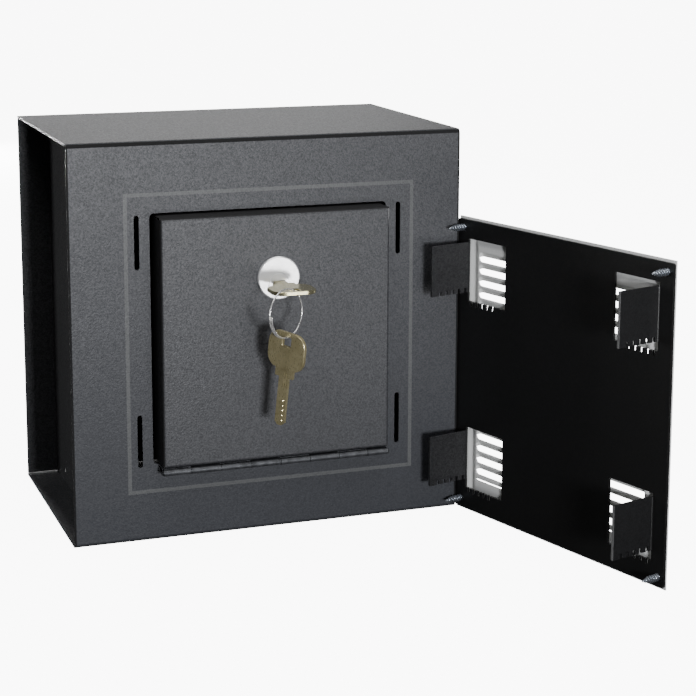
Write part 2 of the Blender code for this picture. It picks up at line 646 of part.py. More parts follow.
def plug():
    """The plug with its keyway, pin bores, square tail and screw hole."""
    centre = facing_front(0, PLUG_HEIGHT)
    front = DOOR_PROUD + GAP + FACE_THICKNESS + PLUG_PROUD
    body = rod("lock_plug", PLUG_RADIUS, -BODY_BEHIND, front, centre, CHROME, LOCK_AXIS)
    half = TAIL_SIDE / 2
    tail_end = CAM_BACK - TAIL_SHORT
    boolean(body, block("plug_tail", (-half, -half, -tail_end), (half, half, 0), centre), "UNION")
    wide = BLADE_WIDTH / 2 + KEYWAY_CLEARANCE
    tall = BLADE_THICKNESS / 2 + KEYWAY_CLEARANCE
    boolean(body, block("keyway", (-wide, KEYWAY_RISE - tall, -KEY_IN_PLUG - KEYWAY_END),
                        (wide, KEYWAY_RISE + tall, front + OVERRUN), centre))
    boolean(body, pin_bores("plug_pin_bores", KEYWAY_RISE, PLUG_RADIUS + OVERRUN))
    boolean(body, rod("plug_screw_hole", CAM_SCREW_RADIUS + CAM_SCREW_CLEARANCE, -tail_end - OVERRUN,
                      CAM_SCREW_DEPTH - tail_end - GAP + CAM_SCREW_CLEARANCE, centre, steps=SMALL_STEPS))


def cam():
    """The cam on the plug's tail, which points to the right while unlocked, with its washer and screw."""
    centre = facing_front(0, PLUG_HEIGHT)
    half = CAM_WIDTH / 2
    shape = arc(0, 0, half, 90, 270, 3 * ARC_STEPS) \
        + arc(CAM_REACH - CAM_TIP_RADIUS, CAM_TIP_RADIUS - half, CAM_TIP_RADIUS, 270, 360) \
        + arc(CAM_REACH - CAM_TIP_RADIUS, half - CAM_TIP_RADIUS, CAM_TIP_RADIUS, 0, 90)
    side = TAIL_SIDE / 2 + TAIL_CLEARANCE
    square = [(-side, -side), (side, -side), (side, side), (-side, side)]
    outline("lock_cam", [shape, square], -CAM_BACK, -CAM_FRONT, centre, BARE_STEEL, LOCK_AXIS)
    washer = -CAM_BACK - GAP
    ring = arc(0, 0, CAM_WASHER_RADIUS, 0, 360, ROUND_STEPS // 2)[:-1]
    hole = arc(0, 0, CAM_SCREW_RADIUS + CAM_SCREW_CLEARANCE, 0, 360, SMALL_STEPS)[:-1]
    outline("cam_washer", [ring, hole], washer - CAM_WASHER_THICKNESS, washer, centre, BARE_STEEL, LOCK_AXIS)
    seat = washer - CAM_WASHER_THICKNESS - GAP
    tip = CAM_SCREW_DEPTH - CAM_BACK + TAIL_SHORT - GAP
    profile = [(0, tip), (CAM_SCREW_RADIUS, tip), (CAM_SCREW_RADIUS, seat), (CAM_SCREW_HEAD_RADIUS, seat)]
    profile += [(CAM_SCREW_HEAD_RADIUS * wide, seat - CAM_SCREW_HEAD * (1 - deep))
                for wide, deep in reversed(HEAD_DOME_SHARES[1:-1])]
    profile += [(0, seat - CAM_SCREW_HEAD)]
    screw = turned("cam_screw", profile, centre, BARE_STEEL, LOCK_AXIS, steps=SMALL_STEPS)
    slot = CAM_SCREW_SLOT / 2
    boolean(screw, block("cam_screw_slot", (-CAM_SCREW_HEAD_RADIUS - OVERRUN, -slot, seat - CAM_SCREW_HEAD
                                            - OVERRUN), (CAM_SCREW_HEAD_RADIUS + OVERRUN, slot,
                                                         seat - CAM_SCREW_HEAD / 2), centre))


def key_mesh():
    """A dimple key about its bow's hole, with its tip towards local +Y and its flats along local Z."""
    bow_end = -KEY_HOLE_INSET
    shoulder = bow_end + BOW_LENGTH
    bow = rounded(BOW_WIDTH, BOW_LENGTH, BOW_CORNER, 0, bow_end + BOW_LENGTH / 2)
    hole = rounded(KEY_HOLE, KEY_HOLE, KEY_HOLE_CORNER)
    key = outline("key_bow", [bow, hole], -BOW_THICKNESS / 2, BOW_THICKNESS / 2, Matrix())
    bevel = key.modifiers.new("edge", "BEVEL")
    bevel.width = BOW_EDGE
    bevel.segments = 1
    bevel.limit_method = "ANGLE"
    bevel.angle_limit = BEVEL_ANGLE
    half, step, tip = BLADE_WIDTH / 2, SHOULDER_WIDTH / 2, HOLE_TO_TIP
    neck = shoulder + SHOULDER_LENGTH
    inside = shoulder - BOW_CORNER
    blade = [(-step, inside), (step, inside), (step, neck), (half, neck), (half, tip - BLADE_TIP),
             (half - BLADE_TIP, tip), (BLADE_TIP - half, tip), (-half, tip - BLADE_TIP), (-half, neck),
             (-step, neck)]
    boolean(key, outline("key_blade", [blade], -BLADE_THICKNESS / 2, BLADE_THICKNESS / 2, Matrix()), "UNION")
    bm = bmesh.new()
    for front in pin_places():
        y = KEY_IN_PLUG + front
        for side in (1, -1):
            depth = 2 * DIMPLE_DEPTH
            matrix = Matrix.Translation((0, HOLE_TO_TIP - y, side * BLADE_THICKNESS / 2))
            bmesh.ops.create_cone(bm, cap_ends=True, segments=SMALL_STEPS // 2, depth=depth, matrix=matrix,
                                  radius1=0 if side > 0 else 2 * DIMPLE_RADIUS,
                                  radius2=2 * DIMPLE_RADIUS if side > 0 else 0)
    boolean(key, place("key_dimples", finish(bm, "key_dimples"), Matrix()))
    mesh = applied_mesh(key)
    mesh.name = "key"
    for name in ("key_bow", "key_blade", "key_dimples"):
        bpy.data.objects.remove(bpy.data.objects[name])
    return mesh


def keys():
    """The key in the lock, the split ring through its bow and the spare key that hangs plumb on the ring."""
    mesh = key_mesh()
    place("key", mesh, Matrix.Translation(KEY_HOLE_CENTRE), BRASS, LOCK_AXIS)
    bpy.ops.mesh.primitive_torus_add(major_radius=RING_RADIUS, minor_radius=RING_WIRE,
                                     major_segments=ROUND_STEPS, minor_segments=SMALL_STEPS // 2)
    torus = bpy.context.object
    ring = torus.data
    bpy.data.objects.remove(torus)
    place("key_ring", ring, frame(RING_CENTRE, RING_DIRECTION, (0, 0, 1)), CHROME, RING_AXIS)
    corner = KEY_HOLE / 2 - RING_WIRE - GAP
    hang = centroid(mesh)[1] + corner
    lean = math.atan2(corner, hang)
    sideways = Vector((-RING_DIRECTION.y, RING_DIRECTION.x, 0))
    upright = frame(SPARE_PIVOT, sideways, (0, 0, -1))
    tilt = Matrix.Rotation(lean, 4, "Z")
    place("spare_key", mesh.copy(), upright @ tilt @ Matrix.Translation((corner, corner, 0)), BRASS,
          SPARE_AXIS)


def comb(start, y, direction):
    """Points of a comb of notches that are cut down from a line at y, listed in the direction of travel."""
    points = []
    order = range(NOTCH_COUNT) if direction > 0 else reversed(range(NOTCH_COUNT))
    for i in order:
        middle = start + abs(direction) * (NOTCH_FIRST + i * NOTCH_PITCH)
        near, far = middle - direction * NOTCH_WIDTH / 2, middle + direction * NOTCH_WIDTH / 2
        points += [(near, y), (near, y - NOTCH_DEPTH), (far, y - NOTCH_DEPTH), (far, y)]
    return points


def hook_plate(matrix):
    """The plate behind the grille: four windows, and at each a tab folded out towards the safe."""
    middle = HOOK_PLATE_WIDTH / 2
    plate = rounded(HOOK_PLATE_WIDTH, HOOK_PLATE_HEIGHT, COVER_CORNER, middle, GRILLE_HEIGHT / 2)
    windows = []
    for rise in (0, SLOT_RISE):
        low = TAB_LOWER + rise - WINDOW_DROP
        edge = TAB_OUTSET
        window = [(edge, low + WINDOW_HEIGHT), (edge - WINDOW_WIDTH, low + WINDOW_HEIGHT),
                  (edge - WINDOW_WIDTH, low)]
        teeth = [(edge - (x - edge), y) for x, y in comb(edge, low, 1)]
        window += list(reversed(teeth)) + [(edge, low)]
        windows += [[(middle + x, y) for x, y in window], [(middle - x, y) for x, y in window]]
    item = outline("hook_plate", [plate, *windows], -HOOK_SHEET, 0, matrix, BLACK_PAINT, COVER_AXIS)
    centre = TAB_OUTSET - HOOK_SHEET / 2
    inner, outer = TAB_BEND, TAB_BEND + HOOK_SHEET
    fold = centre + HOOK_SHEET / 2 + TAB_BEND
    for side, side_name in ((-1, "left"), (1, "right")):
        section = [(fold + TAB_ROOT, 0)] + arc(fold, inner, inner, 270, 180) \
            + [(fold - inner, TAB_LENGTH), (fold - outer, TAB_LENGTH)] \
            + arc(fold, inner, outer, 180, 270) + [(fold + TAB_ROOT, -HOOK_SHEET)]
        section = [(side * x, z) for x, z in section]
        for rise, level in ((0, "lower"), (SLOT_RISE, "upper")):
            name = f"tab_{level}_{side_name}"
            low = TAB_LOWER + rise
            upright = matrix @ Matrix.Translation((middle, low + TAB_HEIGHT / 2, 0)) @ \
                frame((0, 0, 0), (1, 0, 0), (0, 0, 1))
            tab = outline(name, [section], -TAB_HEIGHT / 2, TAB_HEIGHT / 2, upright)
            bm = bmesh.new()
            for i in range(NOTCH_COUNT):
                z = NOTCH_FIRST + i * NOTCH_PITCH
                add_block(bm, (side * fold - 2 * outer, low - OVERRUN, z - NOTCH_WIDTH / 2),
                          (side * fold + 2 * outer, low + NOTCH_DEPTH, z + NOTCH_WIDTH / 2))
            notches = place(name + "_notches", finish(bm, name + "_notches"),
                            matrix @ Matrix.Translation((middle, 0, 0)))
            boolean(tab, notches)
            boolean(item, tab, "UNION")
    holes = bmesh.new()
    for x, y in screw_places():
        add_rod(holes, SCREW_RADIUS + SCREW_CLEARANCE, -HOOK_SHEET - OVERRUN, OVERRUN, x, y)
    boolean(item, place("hook_plate_screw_holes", finish(holes, "hook_plate_screw_holes"), matrix))


def screw_places():
    """The four screws, near the hook plate's corners."""
    x = HOOK_PLATE_WIDTH / 2 - SCREW_INSET
    y = HOOK_PLATE_HEIGHT / 2 - SCREW_INSET
    return [(HOOK_PLATE_WIDTH / 2 + i * x, GRILLE_HEIGHT / 2 + j * y) for j in (1, -1) for i in (-1, 1)]


def grille(matrix):
    """The grille's flat sheet with its rows of gaps, each under a short hood that leans out."""
    back = HOOK_SHEET + GAP
    face = back + GRILLE_SHEET
    outwards = matrix @ frame((HOOK_PLATE_WIDTH / 2, GRILLE_HEIGHT / 2, -face), (-1, 0, 0), (0, 1, 0))
    sheet = rounded(HOOK_PLATE_WIDTH, GRILLE_HEIGHT, COVER_CORNER)
    tops = [GRILLE_HEIGHT / 2 - LOUVRE_DROP - i * LOUVRE_PITCH for i in range(LOUVRE_COUNT)]
    gaps = [rounded(LOUVRE_LENGTH, LOUVRE_GAP, LOUVRE_GAP / 2, 0, top - LOUVRE_GAP / 2) for top in tops]
    gaps.append(rounded(LOUVRE_LENGTH, SLIT_HEIGHT, SLIT_HEIGHT / 2, 0,
                        tops[-1] - LOUVRE_PITCH - SLIT_HEIGHT / 2))
    item = outline("vent_grille", [sheet, *gaps], -GRILLE_SHEET, 0, outwards, WHITE_PAINT, COVER_AXIS)
    bm = bmesh.new()
    half = LOUVRE_LENGTH / 2 - LOUVRE_GAP / 2
    for top in tops:
        root = Vector((0, top + LOUVRE_SHEET, -GRILLE_SHEET / 2))
        tip = Vector((0, top - LOUVRE_LIP + LOUVRE_SHEET / 2, LOUVRE_HOOD - LOUVRE_SHEET / 2))
        middle = (root + tip) / 2
        size = Vector((half, LOUVRE_SHEET / 2, (tip - root).length / 2))
        lean = math.atan2(root.y - tip.y, tip.z - root.z)
        add_block(bm, middle - size, middle + size, Matrix.Rotation(lean, 4, "X"))
    boolean(item, place("louvre_hoods", finish(bm, "louvre_hoods"), outwards), "UNION")
    holes = bmesh.new()
    for x, y in screw_places():
        add_rod(holes, SCREW_RADIUS + SCREW_CLEARANCE, -face - OVERRUN, OVERRUN - back, x, y)
    boolean(item, place("grille_screw_holes", finish(holes, "grille_screw_holes"), matrix))


def cover_screws(matrix):
    """Four self-tapping screws with domed heads on the grille and their points towards the safe."""
    seat = -HOOK_SHEET - GRILLE_SHEET - 2 * GAP
    profile = [(0, SCREW_SHOWS), (SCREW_RADIUS, SCREW_SHOWS - SCREW_POINT), (SCREW_RADIUS, seat),
               (SCREW_HEAD_RADIUS, seat)]
    profile += [(SCREW_HEAD_RADIUS * wide, seat - SCREW_HEAD * deep)
                for wide, deep in reversed(HEAD_DOME_SHARES[:-1])]
    profile += [(0, seat - SCREW_HEAD)]
    names = ("top_left", "top_right", "bottom_left", "bottom_right")
    for name, (x, y) in zip(names, screw_places()):
        turned("cover_screw_" + name, profile, matrix @ Matrix.Translation((x, y, 0)), ZINC, COVER_AXIS,
               steps=SMALL_STEPS)


def cover():
    """The vent cover: its frame has local X along it, local Y up and local Z towards the safe."""
    along = Vector((math.cos(COVER_ANGLE), -math.sin(COVER_ANGLE), 0))
    near = Vector((CASE_WIDTH / 2 + COVER_STANDOFF, FRONT + COVER_SETBACK, 0))
    matrix = frame(near, along, (0, 0, 1))
    hook_plate(matrix)
    grille(matrix)
    cover_screws(matrix)


SHARP_ANGLE = math.radians(35)
BEVEL_ANGLE = math.radians(60)
clear_scene()
PARTS = new_collection("wall_safe")
HELPERS = new_collection("cutters")
AXES = {}
PAINT = new_material("charcoal_paint", (0.085, 0.087, 0.095), 0.55, 0.0)
BLACK_PAINT = new_material("black_paint", (0.012, 0.012, 0.013), 0.45, 0.0)
WHITE_PAINT = new_material("white_paint", (0.78, 0.78, 0.76), 0.45, 0.0)
BARE_STEEL = new_material("zinc_plated_steel", (0.55, 0.56, 0.57), 0.35, 1.0)
HINGE_STEEL = new_material("dulled_steel", (0.32, 0.33, 0.34), 0.45, 1.0)
CHROME = new_material("chrome", (0.78, 0.78, 0.79), 0.12, 1.0)
BRASS = new_material("olive_brass", (0.50, 0.42, 0.22), 0.30, 1.0)
ZINC = new_material("zinc", (0.66, 0.68, 0.70), 0.30, 1.0)
DOOR_AXIS = empty("door_axis", (0, HINGE_Y, HINGE_Z))
LOCK_AXIS = empty("lock_axis", (0, FRONT, PLUG_HEIGHT), DOOR_AXIS)
RING_AXIS = empty("ring_axis", KEY_HOLE_CENTRE, LOCK_AXIS)
SPARE_AXIS = empty("spare_axis", SPARE_PIVOT, RING_AXIS)
COVER_AXIS = empty("cover_axis", (CASE_WIDTH / 2, FRONT, 0))
casing()
strike()
hinge()
door()
lock_housing()
tumblers()
plug()
cam()
keys()
cover()
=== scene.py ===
"""Wall safe: the looks of its folded steel body, its door with lock and keys, and the vent cover.

Metres, +Z up, +Y into the safe. Heights are above the underside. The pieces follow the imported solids, and
take their edges, threads, coils and paint here.
"""
import math

import bmesh
import bpy
import numpy as np
from mathutils import Matrix, Vector


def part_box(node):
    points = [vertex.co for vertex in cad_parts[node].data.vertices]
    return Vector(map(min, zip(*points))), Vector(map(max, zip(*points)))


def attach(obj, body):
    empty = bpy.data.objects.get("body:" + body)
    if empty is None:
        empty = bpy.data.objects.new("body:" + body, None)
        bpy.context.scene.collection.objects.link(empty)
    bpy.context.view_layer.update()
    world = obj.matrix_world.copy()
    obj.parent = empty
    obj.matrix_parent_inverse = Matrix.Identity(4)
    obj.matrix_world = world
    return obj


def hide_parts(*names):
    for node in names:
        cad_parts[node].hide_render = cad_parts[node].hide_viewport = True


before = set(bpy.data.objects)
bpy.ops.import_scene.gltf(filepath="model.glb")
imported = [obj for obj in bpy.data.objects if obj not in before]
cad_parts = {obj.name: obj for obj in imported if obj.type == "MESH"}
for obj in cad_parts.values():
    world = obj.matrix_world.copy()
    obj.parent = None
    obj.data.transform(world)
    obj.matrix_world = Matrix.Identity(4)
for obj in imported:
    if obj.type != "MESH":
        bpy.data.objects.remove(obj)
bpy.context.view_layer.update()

# Safe body
CASE_WIDTH = 0.257
CASE_HEIGHT = 0.254
CASE_DEPTH = 0.165
CASE_SHEET = 0.0015
FRONT = -CASE_DEPTH / 2

# Painted line round the opening: its outer edges from the plate's left edge and underside, and its width
LINE_LEFT = 0.0345
LINE_RIGHT = 0.2249
LINE_LOW = 0.0314
LINE_HIGH = 0.2223
LINE_WIDTH = 0.0024

# Split ring
RING_RADIUS = 0.015
RING_WIRE = 0.00052
RING_COIL_GAP = 0.00100
RING_TURNS = 1.3
RING_STEPS = 181          # points along the wire
RING_SIDES = 12           # and round it
RING_STEP_START = 0.2     # share of the wire before its step from one coil to the next
RING_STEP_SPAN = 0.5      # share of the wire that the step takes
RING_SPLAY = 0.0007       # how far the first end stands in from the coil
RING_SPLAY_TURN = 100     # degrees over which it comes out to the coil
RING_CENTRE = np.array((-0.007297, -0.135538, 0.1527))
RING_AXIS = np.array((0.5446, -0.8387, 0.0))
RING_ALONG = np.array((-0.8387, -0.5446, 0.0))

# Keys: each one's hole, the line from its hole to its tip, the line across it and the normal of its flats
KEY_FRAMES = {
    "key": (np.array((0.0, -0.1308, 0.1647)), np.array((0.0, 1.0, 0.0)), np.array((1.0, 0.0, 0.0)),
            np.array((0.0, 0.0, 1.0))),
    "spare_key": (np.array((-0.006329, -0.137028, 0.135409)), np.array((-0.068449, 0.105403, -0.992071)),
                  np.array((0.540321, -0.832021, -0.125678)), np.array((0.838671, 0.544639, 0.0))),
}
KEY_TIP = 0.0533
KEY_FLAT = 0.0010         # from the key's middle to its blade's flats
DIMPLE_COUNT = 5          # in the second row, between those of the first
DIMPLE_FIRST = 0.0034
DIMPLE_PITCH = 0.0032
DIMPLE_ASIDE = -0.0019
DIMPLE_RADIUS = 0.0007
DIMPLE_DEPTH = 0.0007
DIMPLE_SIDES = 8
GROOVE_PLACES = (-0.0008, -0.0025)
GROOVE_START = 0.0190
GROOVE_END = 0.0290
GROOVE_HALF = 0.0005
GROOVE_DEPTH = 0.0006

# Vent cover: its own frame has X along it, Y up and Z towards the safe
COVER_ANGLE = math.radians(74.3)
COVER_ALONG = np.array((math.cos(COVER_ANGLE), -math.sin(COVER_ANGLE), 0.0))
COVER_TOWARDS = np.array((-math.sin(COVER_ANGLE), -math.cos(COVER_ANGLE), 0.0))
COVER_STANDOFF = 0.0003   # from the case's side to the cover's near edge
COVER_SETBACK = 0.0015    # from the front plate's plane back to the cover's near edge
COVER_ORIGIN = np.array((CASE_WIDTH / 2 + COVER_STANDOFF, FRONT + COVER_SETBACK, 0.0))
UP = np.array((0.0, 0.0, 1.0))

# Grille: one pressed sheet, with the sizes that part.py gives it
GRILLE_WIDTH = 0.195
GRILLE_HEIGHT = 0.197
GRILLE_BACK = -0.0018     # its inner face, in the cover's frame
GRILLE_SHEET = 0.0009
LOUVRE_LENGTH = 0.1560
LOUVRE_PITCH = 0.0079
LOUVRE_GAP = 0.0048
LOUVRE_TOP = 0.174        # height of the highest gap's upper edge
LOUVRE_COUNT = 19
LOUVRE_LIP = 0.0014       # how far a hood's lip hangs over its gap
LOUVRE_OUT = 0.0022       # how far the lip stands out
LOUVRE_ROOT = 0.0017      # from a gap's upper edge up to where its hood begins
LOUVRE_MARGIN = 0.003     # from the highest gap up, and from the slit down, to where the sheet is flat
SLIT_HEIGHT = 0.0012
BEAD_INSET = 0.0142       # from the sheet's edge in to the pressed bead
BEAD_HALF = 0.0028
BEAD_OUT = 0.0017
CUT_ROUNDING = 0.00018    # on the sheet's cut edges
CUT_TURN = 50             # degrees that a cut edge turns by, at least
MARGIN_ROWS = 21          # rows of points above the louvres, and below them
HOOD_ROWS = 6
MARGIN_COLUMNS = 22
END_COLUMNS = 8           # round a louvre's end
LOUVRE_COLUMNS = 40

# Cover screws
SCREW_CORE = 0.00140
SCREW_CREST = 0.00238
SCREW_PITCH = 0.00185
SCREW_SHOWS = 0.0124
SCREW_POINT = 0.0066
SCREW_SEAT = -0.0031
SCREW_HEAD_RADIUS = 0.0039
SCREW_HEAD = 0.0021
SCREW_RIM = 0.0003        # the head's rim, above its seat
SCREW_SIDES = 20
DOME_STEPS = 6
DOME_ROUNDING = 1.4       # power of the cosine that shapes the head
SHANK_STEPS = 121
SHANK_START = 0.0001      # just past the seat
POINT_TAPER = 0.6         # power of the taper to the point
THREAD_HALF = 0.28        # half of a ridge's foot, as a share of the pitch
SCREW_PLACES = (("top_left", 0.0054, 0.1901), ("top_right", 0.1896, 0.1901),
                ("bottom_left", 0.0054, 0.0069), ("bottom_right", 0.1896, 0.0069))

# Mending and rounding: points nearer than a merge become one, and edges shorter than the sliver go
CAD_MERGE = 0.000001
GRID_MERGE = 0.000002
SHEET_MERGE = 0.00002
SHEET_SLIVER = 0.00001
FLAT_TURN = 0.0174        # faces that meet at less than this, in radians, become one
SHARP_TURN = 35           # edges that turn by more than this, in degrees, are rounded
SQUARE = 0.9998           # the cosine past which a face counts as square to a direction


# Shapes worked out with numpy


def in_frame(points, origin, along, up, out):
    """Local (x, y, z) carried to origin + x * along + y * up + z * out."""
    return origin + points[..., :1] * along + points[..., 1:2] * up + points[..., 2:] * out


def grid_quads(rows, columns):
    """The four corner numbers of every cell of a grid of points."""
    corner = np.arange(rows * columns).reshape(rows, columns)
    cells = (corner[:-1, :-1], corner[1:, :-1], corner[1:, 1:], corner[:-1, 1:])
    return np.stack(cells, axis=-1).reshape(-1, 4)


def mended(mesh, merge=0.0, sliver=0.0, outward=True):
    """The mesh with its doubles merged, its slivers dissolved and its faces turned outwards, as asked."""
    bm = bmesh.new()
    bm.from_mesh(mesh)
    if merge:
        bmesh.ops.remove_doubles(bm, verts=bm.verts, dist=merge)
    if sliver:
        bmesh.ops.dissolve_degenerate(bm, edges=bm.edges, dist=sliver)
    if outward:
        bmesh.ops.recalc_face_normals(bm, faces=bm.faces)
    bm.to_mesh(mesh)
    bm.free()
    return mesh


def surface(name, grid):
    """A mesh of one grid of points, with its seam and poles closed and its faces pointing out."""
    mesh = bpy.data.meshes.new(name)
    mesh.from_pydata(grid.reshape(-1, 3).tolist(), [], grid_quads(*grid.shape[:2]).tolist())
    return mended(mesh, merge=GRID_MERGE)


def linked(name, mesh):
    """An object with this mesh in the scene."""
    piece = bpy.data.objects.new(name, mesh)
    bpy.context.scene.collection.objects.link(piece)
    return piece


def carried_out(helper):
    """The mesh of an object with its modifiers carried out. The object itself is removed."""
    view = bpy.context.evaluated_depsgraph_get()
    mesh = bpy.data.meshes.new_from_object(helper.evaluated_get(view))
    bpy.data.objects.remove(helper)
    return mesh


def round_edges(helper, width, angle):
    """A bevel of two segments on the edges that turn by more than an angle in degrees."""
    bevel = helper.modifiers.new("edge", "BEVEL")
    bevel.width = width
    bevel.segments = 2
    bevel.limit_method = "ANGLE"
    bevel.angle_limit = math.radians(angle)
    return bevel


def stand_in(piece, body, node):
    """Makes a piece ride on a body and stand for a node."""
    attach(piece, body)
    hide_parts(node)


def shown(name, mesh, material, body, node, sharp=40):
    """Smooths a finished mesh up to an angle in degrees and shows it in place of a node."""
    mesh.materials.clear()
    mesh.materials.append(material)
    mesh.shade_smooth()
    mesh.set_sharp_from_angle(angle=math.radians(sharp))
    stand_in(linked(name, mesh), body, node)


def key_cuts(node):
    """Cutters for the second row of dimples and the two short grooves on both flats of a key.

    A dimple is an eight-sided cone and a groove a long bar with a V section. Both are set out about the
    bow's hole and carried to the key by the line from its hole to its tip and the normal of its flats.
    """
    hole, along, across, out = KEY_FRAMES[node]
    points = []
    faces = []
    around = np.linspace(0, 2 * math.pi, DIMPLE_SIDES + 1)[:-1]
    circle = 2 * DIMPLE_RADIUS * np.stack([np.cos(around), np.sin(around)], axis=-1)
    for side in (1, -1):
        for number in range(DIMPLE_COUNT):
            start = len(points)
            x = side * DIMPLE_ASIDE
            y = KEY_TIP - DIMPLE_FIRST - number * DIMPLE_PITCH
            points += [(x + dx, y + dy, side * (KEY_FLAT + DIMPLE_DEPTH)) for dx, dy in circle]
            points += [(x, y, side * (KEY_FLAT - DIMPLE_DEPTH))]
            apex = start + DIMPLE_SIDES
            faces += [range(start, apex)]
            faces += [(start + (i + 1) % DIMPLE_SIDES, start + i, apex) for i in range(DIMPLE_SIDES)]
        for aside in GROOVE_PLACES:
            start = len(points)
            x = side * aside
            low = side * (KEY_FLAT - GROOVE_DEPTH)
            high = side * (KEY_FLAT + GROOVE_DEPTH)
            for y in (GROOVE_START, GROOVE_END):
                points += [(x - GROOVE_HALF, y, high), (x + GROOVE_HALF, y, high), (x, y, low)]
            faces += [(start, start + 1, start + 2), (start + 5, start + 4, start + 3)]
            faces += [(start + i, start + 3 + i, start + 3 + (i + 1) % 3, start + (i + 1) % 3)
                      for i in range(3)]
    mesh = bpy.data.meshes.new(node + "_cuts")
    placed = in_frame(np.array(points), hole, across, along, out)
    mesh.from_pydata(placed.tolist(), [], [list(face) for face in faces])
    return linked(node + "_cuts", mended(mesh))


def eased(node, width, material, cuts=None, mirror=None):
    """A node's own shape, merged, with its sharp edges rounded. Faces on the rounding carry edge = 1.

    cuts is an object whose shape is taken away first. mirror is a direction: the faces square to it are
    shaded flat, so that they reflect straight lines.
    """
    bm = bmesh.new()
    bm.from_mesh(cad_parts[node].data)
    bmesh.ops.remove_doubles(bm, verts=bm.verts, dist=CAD_MERGE)
    bmesh.ops.dissolve_limit(bm, angle_limit=FLAT_TURN, verts=bm.verts, edges=bm.edges)
    rough = bpy.data.meshes.new(node + "_rough")
    bm.to_mesh(rough)
    bm.free()
    rough.materials.append(material)
    rough.materials.append(material)
    rough.shade_smooth()
    helper = linked(node + "_rough", rough)
    if cuts:
        cut = helper.modifiers.new("cuts", "BOOLEAN")
        cut.object = cuts
        cut.operation = "DIFFERENCE"
        cut.solver = "EXACT"
    round_edges(helper, width, SHARP_TURN).material = 1
    if mirror is None:
        flat = helper.modifiers.new("flat", "WEIGHTED_NORMAL")
        flat.mode = "FACE_AREA"
        flat.weight = 100
        flat.keep_sharp = True
    mesh = carried_out(helper)
    if cuts:
        bpy.data.objects.remove(cuts)
    mesh.name = node + "_eased"
    index = np.zeros(len(mesh.polygons), np.int32)
    mesh.polygons.foreach_get("material_index", index)
    edge = mesh.attributes.new("edge", "FLOAT", "FACE")
    edge.data.foreach_set("value", (index == 1).astype(np.float32))
    mesh.polygons.foreach_set("material_index", np.zeros_like(index))
    if mirror is not None:
        normals = np.zeros(3 * len(index), np.float32)
        mesh.polygons.foreach_get("normal", normals)
        square = np.abs(normals.reshape(-1, 3) @ np.array(mirror)) > SQUARE
        mesh.polygons.foreach_set("use_smooth", ~square)
    mesh.materials.clear()
    mesh.materials.append(material)
    return mesh


def split_ring():
    """Round wire that runs one turn and three tenths, its two ends side by side down the ring's left side.

    A point is the centre + (radius - splay(a)) * (cos a, sin a) + axis * step(a) + wire * (cos b, sin b),
    where a runs over the wire's length. step(a) is one coil gap over the first fifth of the wire and falls
    to none over its next half, and splay(a) draws the first end in.
    """
    turn = np.linspace(0, 2 * math.pi * RING_TURNS, RING_STEPS)
    share = turn / turn[-1]
    step = (1 - np.clip((share - RING_STEP_START) / RING_STEP_SPAN, 0, 1)) * RING_COIL_GAP
    radius = RING_RADIUS - RING_SPLAY * np.clip(1 - turn / math.radians(RING_SPLAY_TURN), 0, 1)
    radial = np.cos(turn)[:, None] * RING_ALONG - np.sin(turn)[:, None] * UP
    middle = RING_CENTRE + radius[:, None] * radial + step[:, None] * RING_AXIS
    around = np.linspace(0, 2 * math.pi, RING_SIDES + 1)
    section = np.cos(around)[None, :, None] * radial[:, None] + np.sin(around)[None, :, None] * RING_AXIS
    tube = middle[:, None] + RING_WIRE * section
    first = np.repeat(middle[:1, None], len(around), axis=1)
    last = np.repeat(middle[-1:, None], len(around), axis=1)
    return np.concatenate([first, tube, last])


def screw_grid():
    """A self-tapping screw about local Z: its radius swings from core to crest once each pitch of a helix.

    The radius at height z and angle a is core + (crest - core) * ridge(z / pitch - a / turn), where ridge
    is a narrow tooth, times a taper to nothing over the point. The domed head closes the other end.
    """
    angle = np.linspace(0, 2 * math.pi, SCREW_SIDES + 1)
    dome = np.linspace(0, math.pi / 2, DOME_STEPS)
    crown = SCREW_SEAT - SCREW_HEAD * np.cos(dome) ** DOME_ROUNDING
    crown[-1] -= SCREW_RIM
    head_r = np.concatenate([SCREW_HEAD_RADIUS * np.sin(dome), [SCREW_HEAD_RADIUS, SCREW_CORE]])
    head_z = np.concatenate([crown, [SCREW_SEAT, SCREW_SEAT]])
    shank_z = np.linspace(SCREW_SEAT + SHANK_START, SCREW_SHOWS, SHANK_STEPS)
    taper = np.clip((SCREW_SHOWS - shank_z) / SCREW_POINT, 0, 1) ** POINT_TAPER
    phase = np.mod(shank_z[:, None] / SCREW_PITCH - angle[None, :] / (2 * math.pi), 1)
    ridge = np.clip(1 - np.abs(phase - 0.5) / THREAD_HALF, 0, 1)
    shank_r = (SCREW_CORE + (SCREW_CREST - SCREW_CORE) * ridge) * taper[:, None]
    radius = np.concatenate([np.repeat(head_r[:, None], len(angle), axis=1), shank_r])
    height = np.repeat(np.concatenate([head_z, shank_z])[:, None], len(angle), axis=1)
    return np.stack([radius * np.cos(angle), radius * np.sin(angle), height], axis=-1)


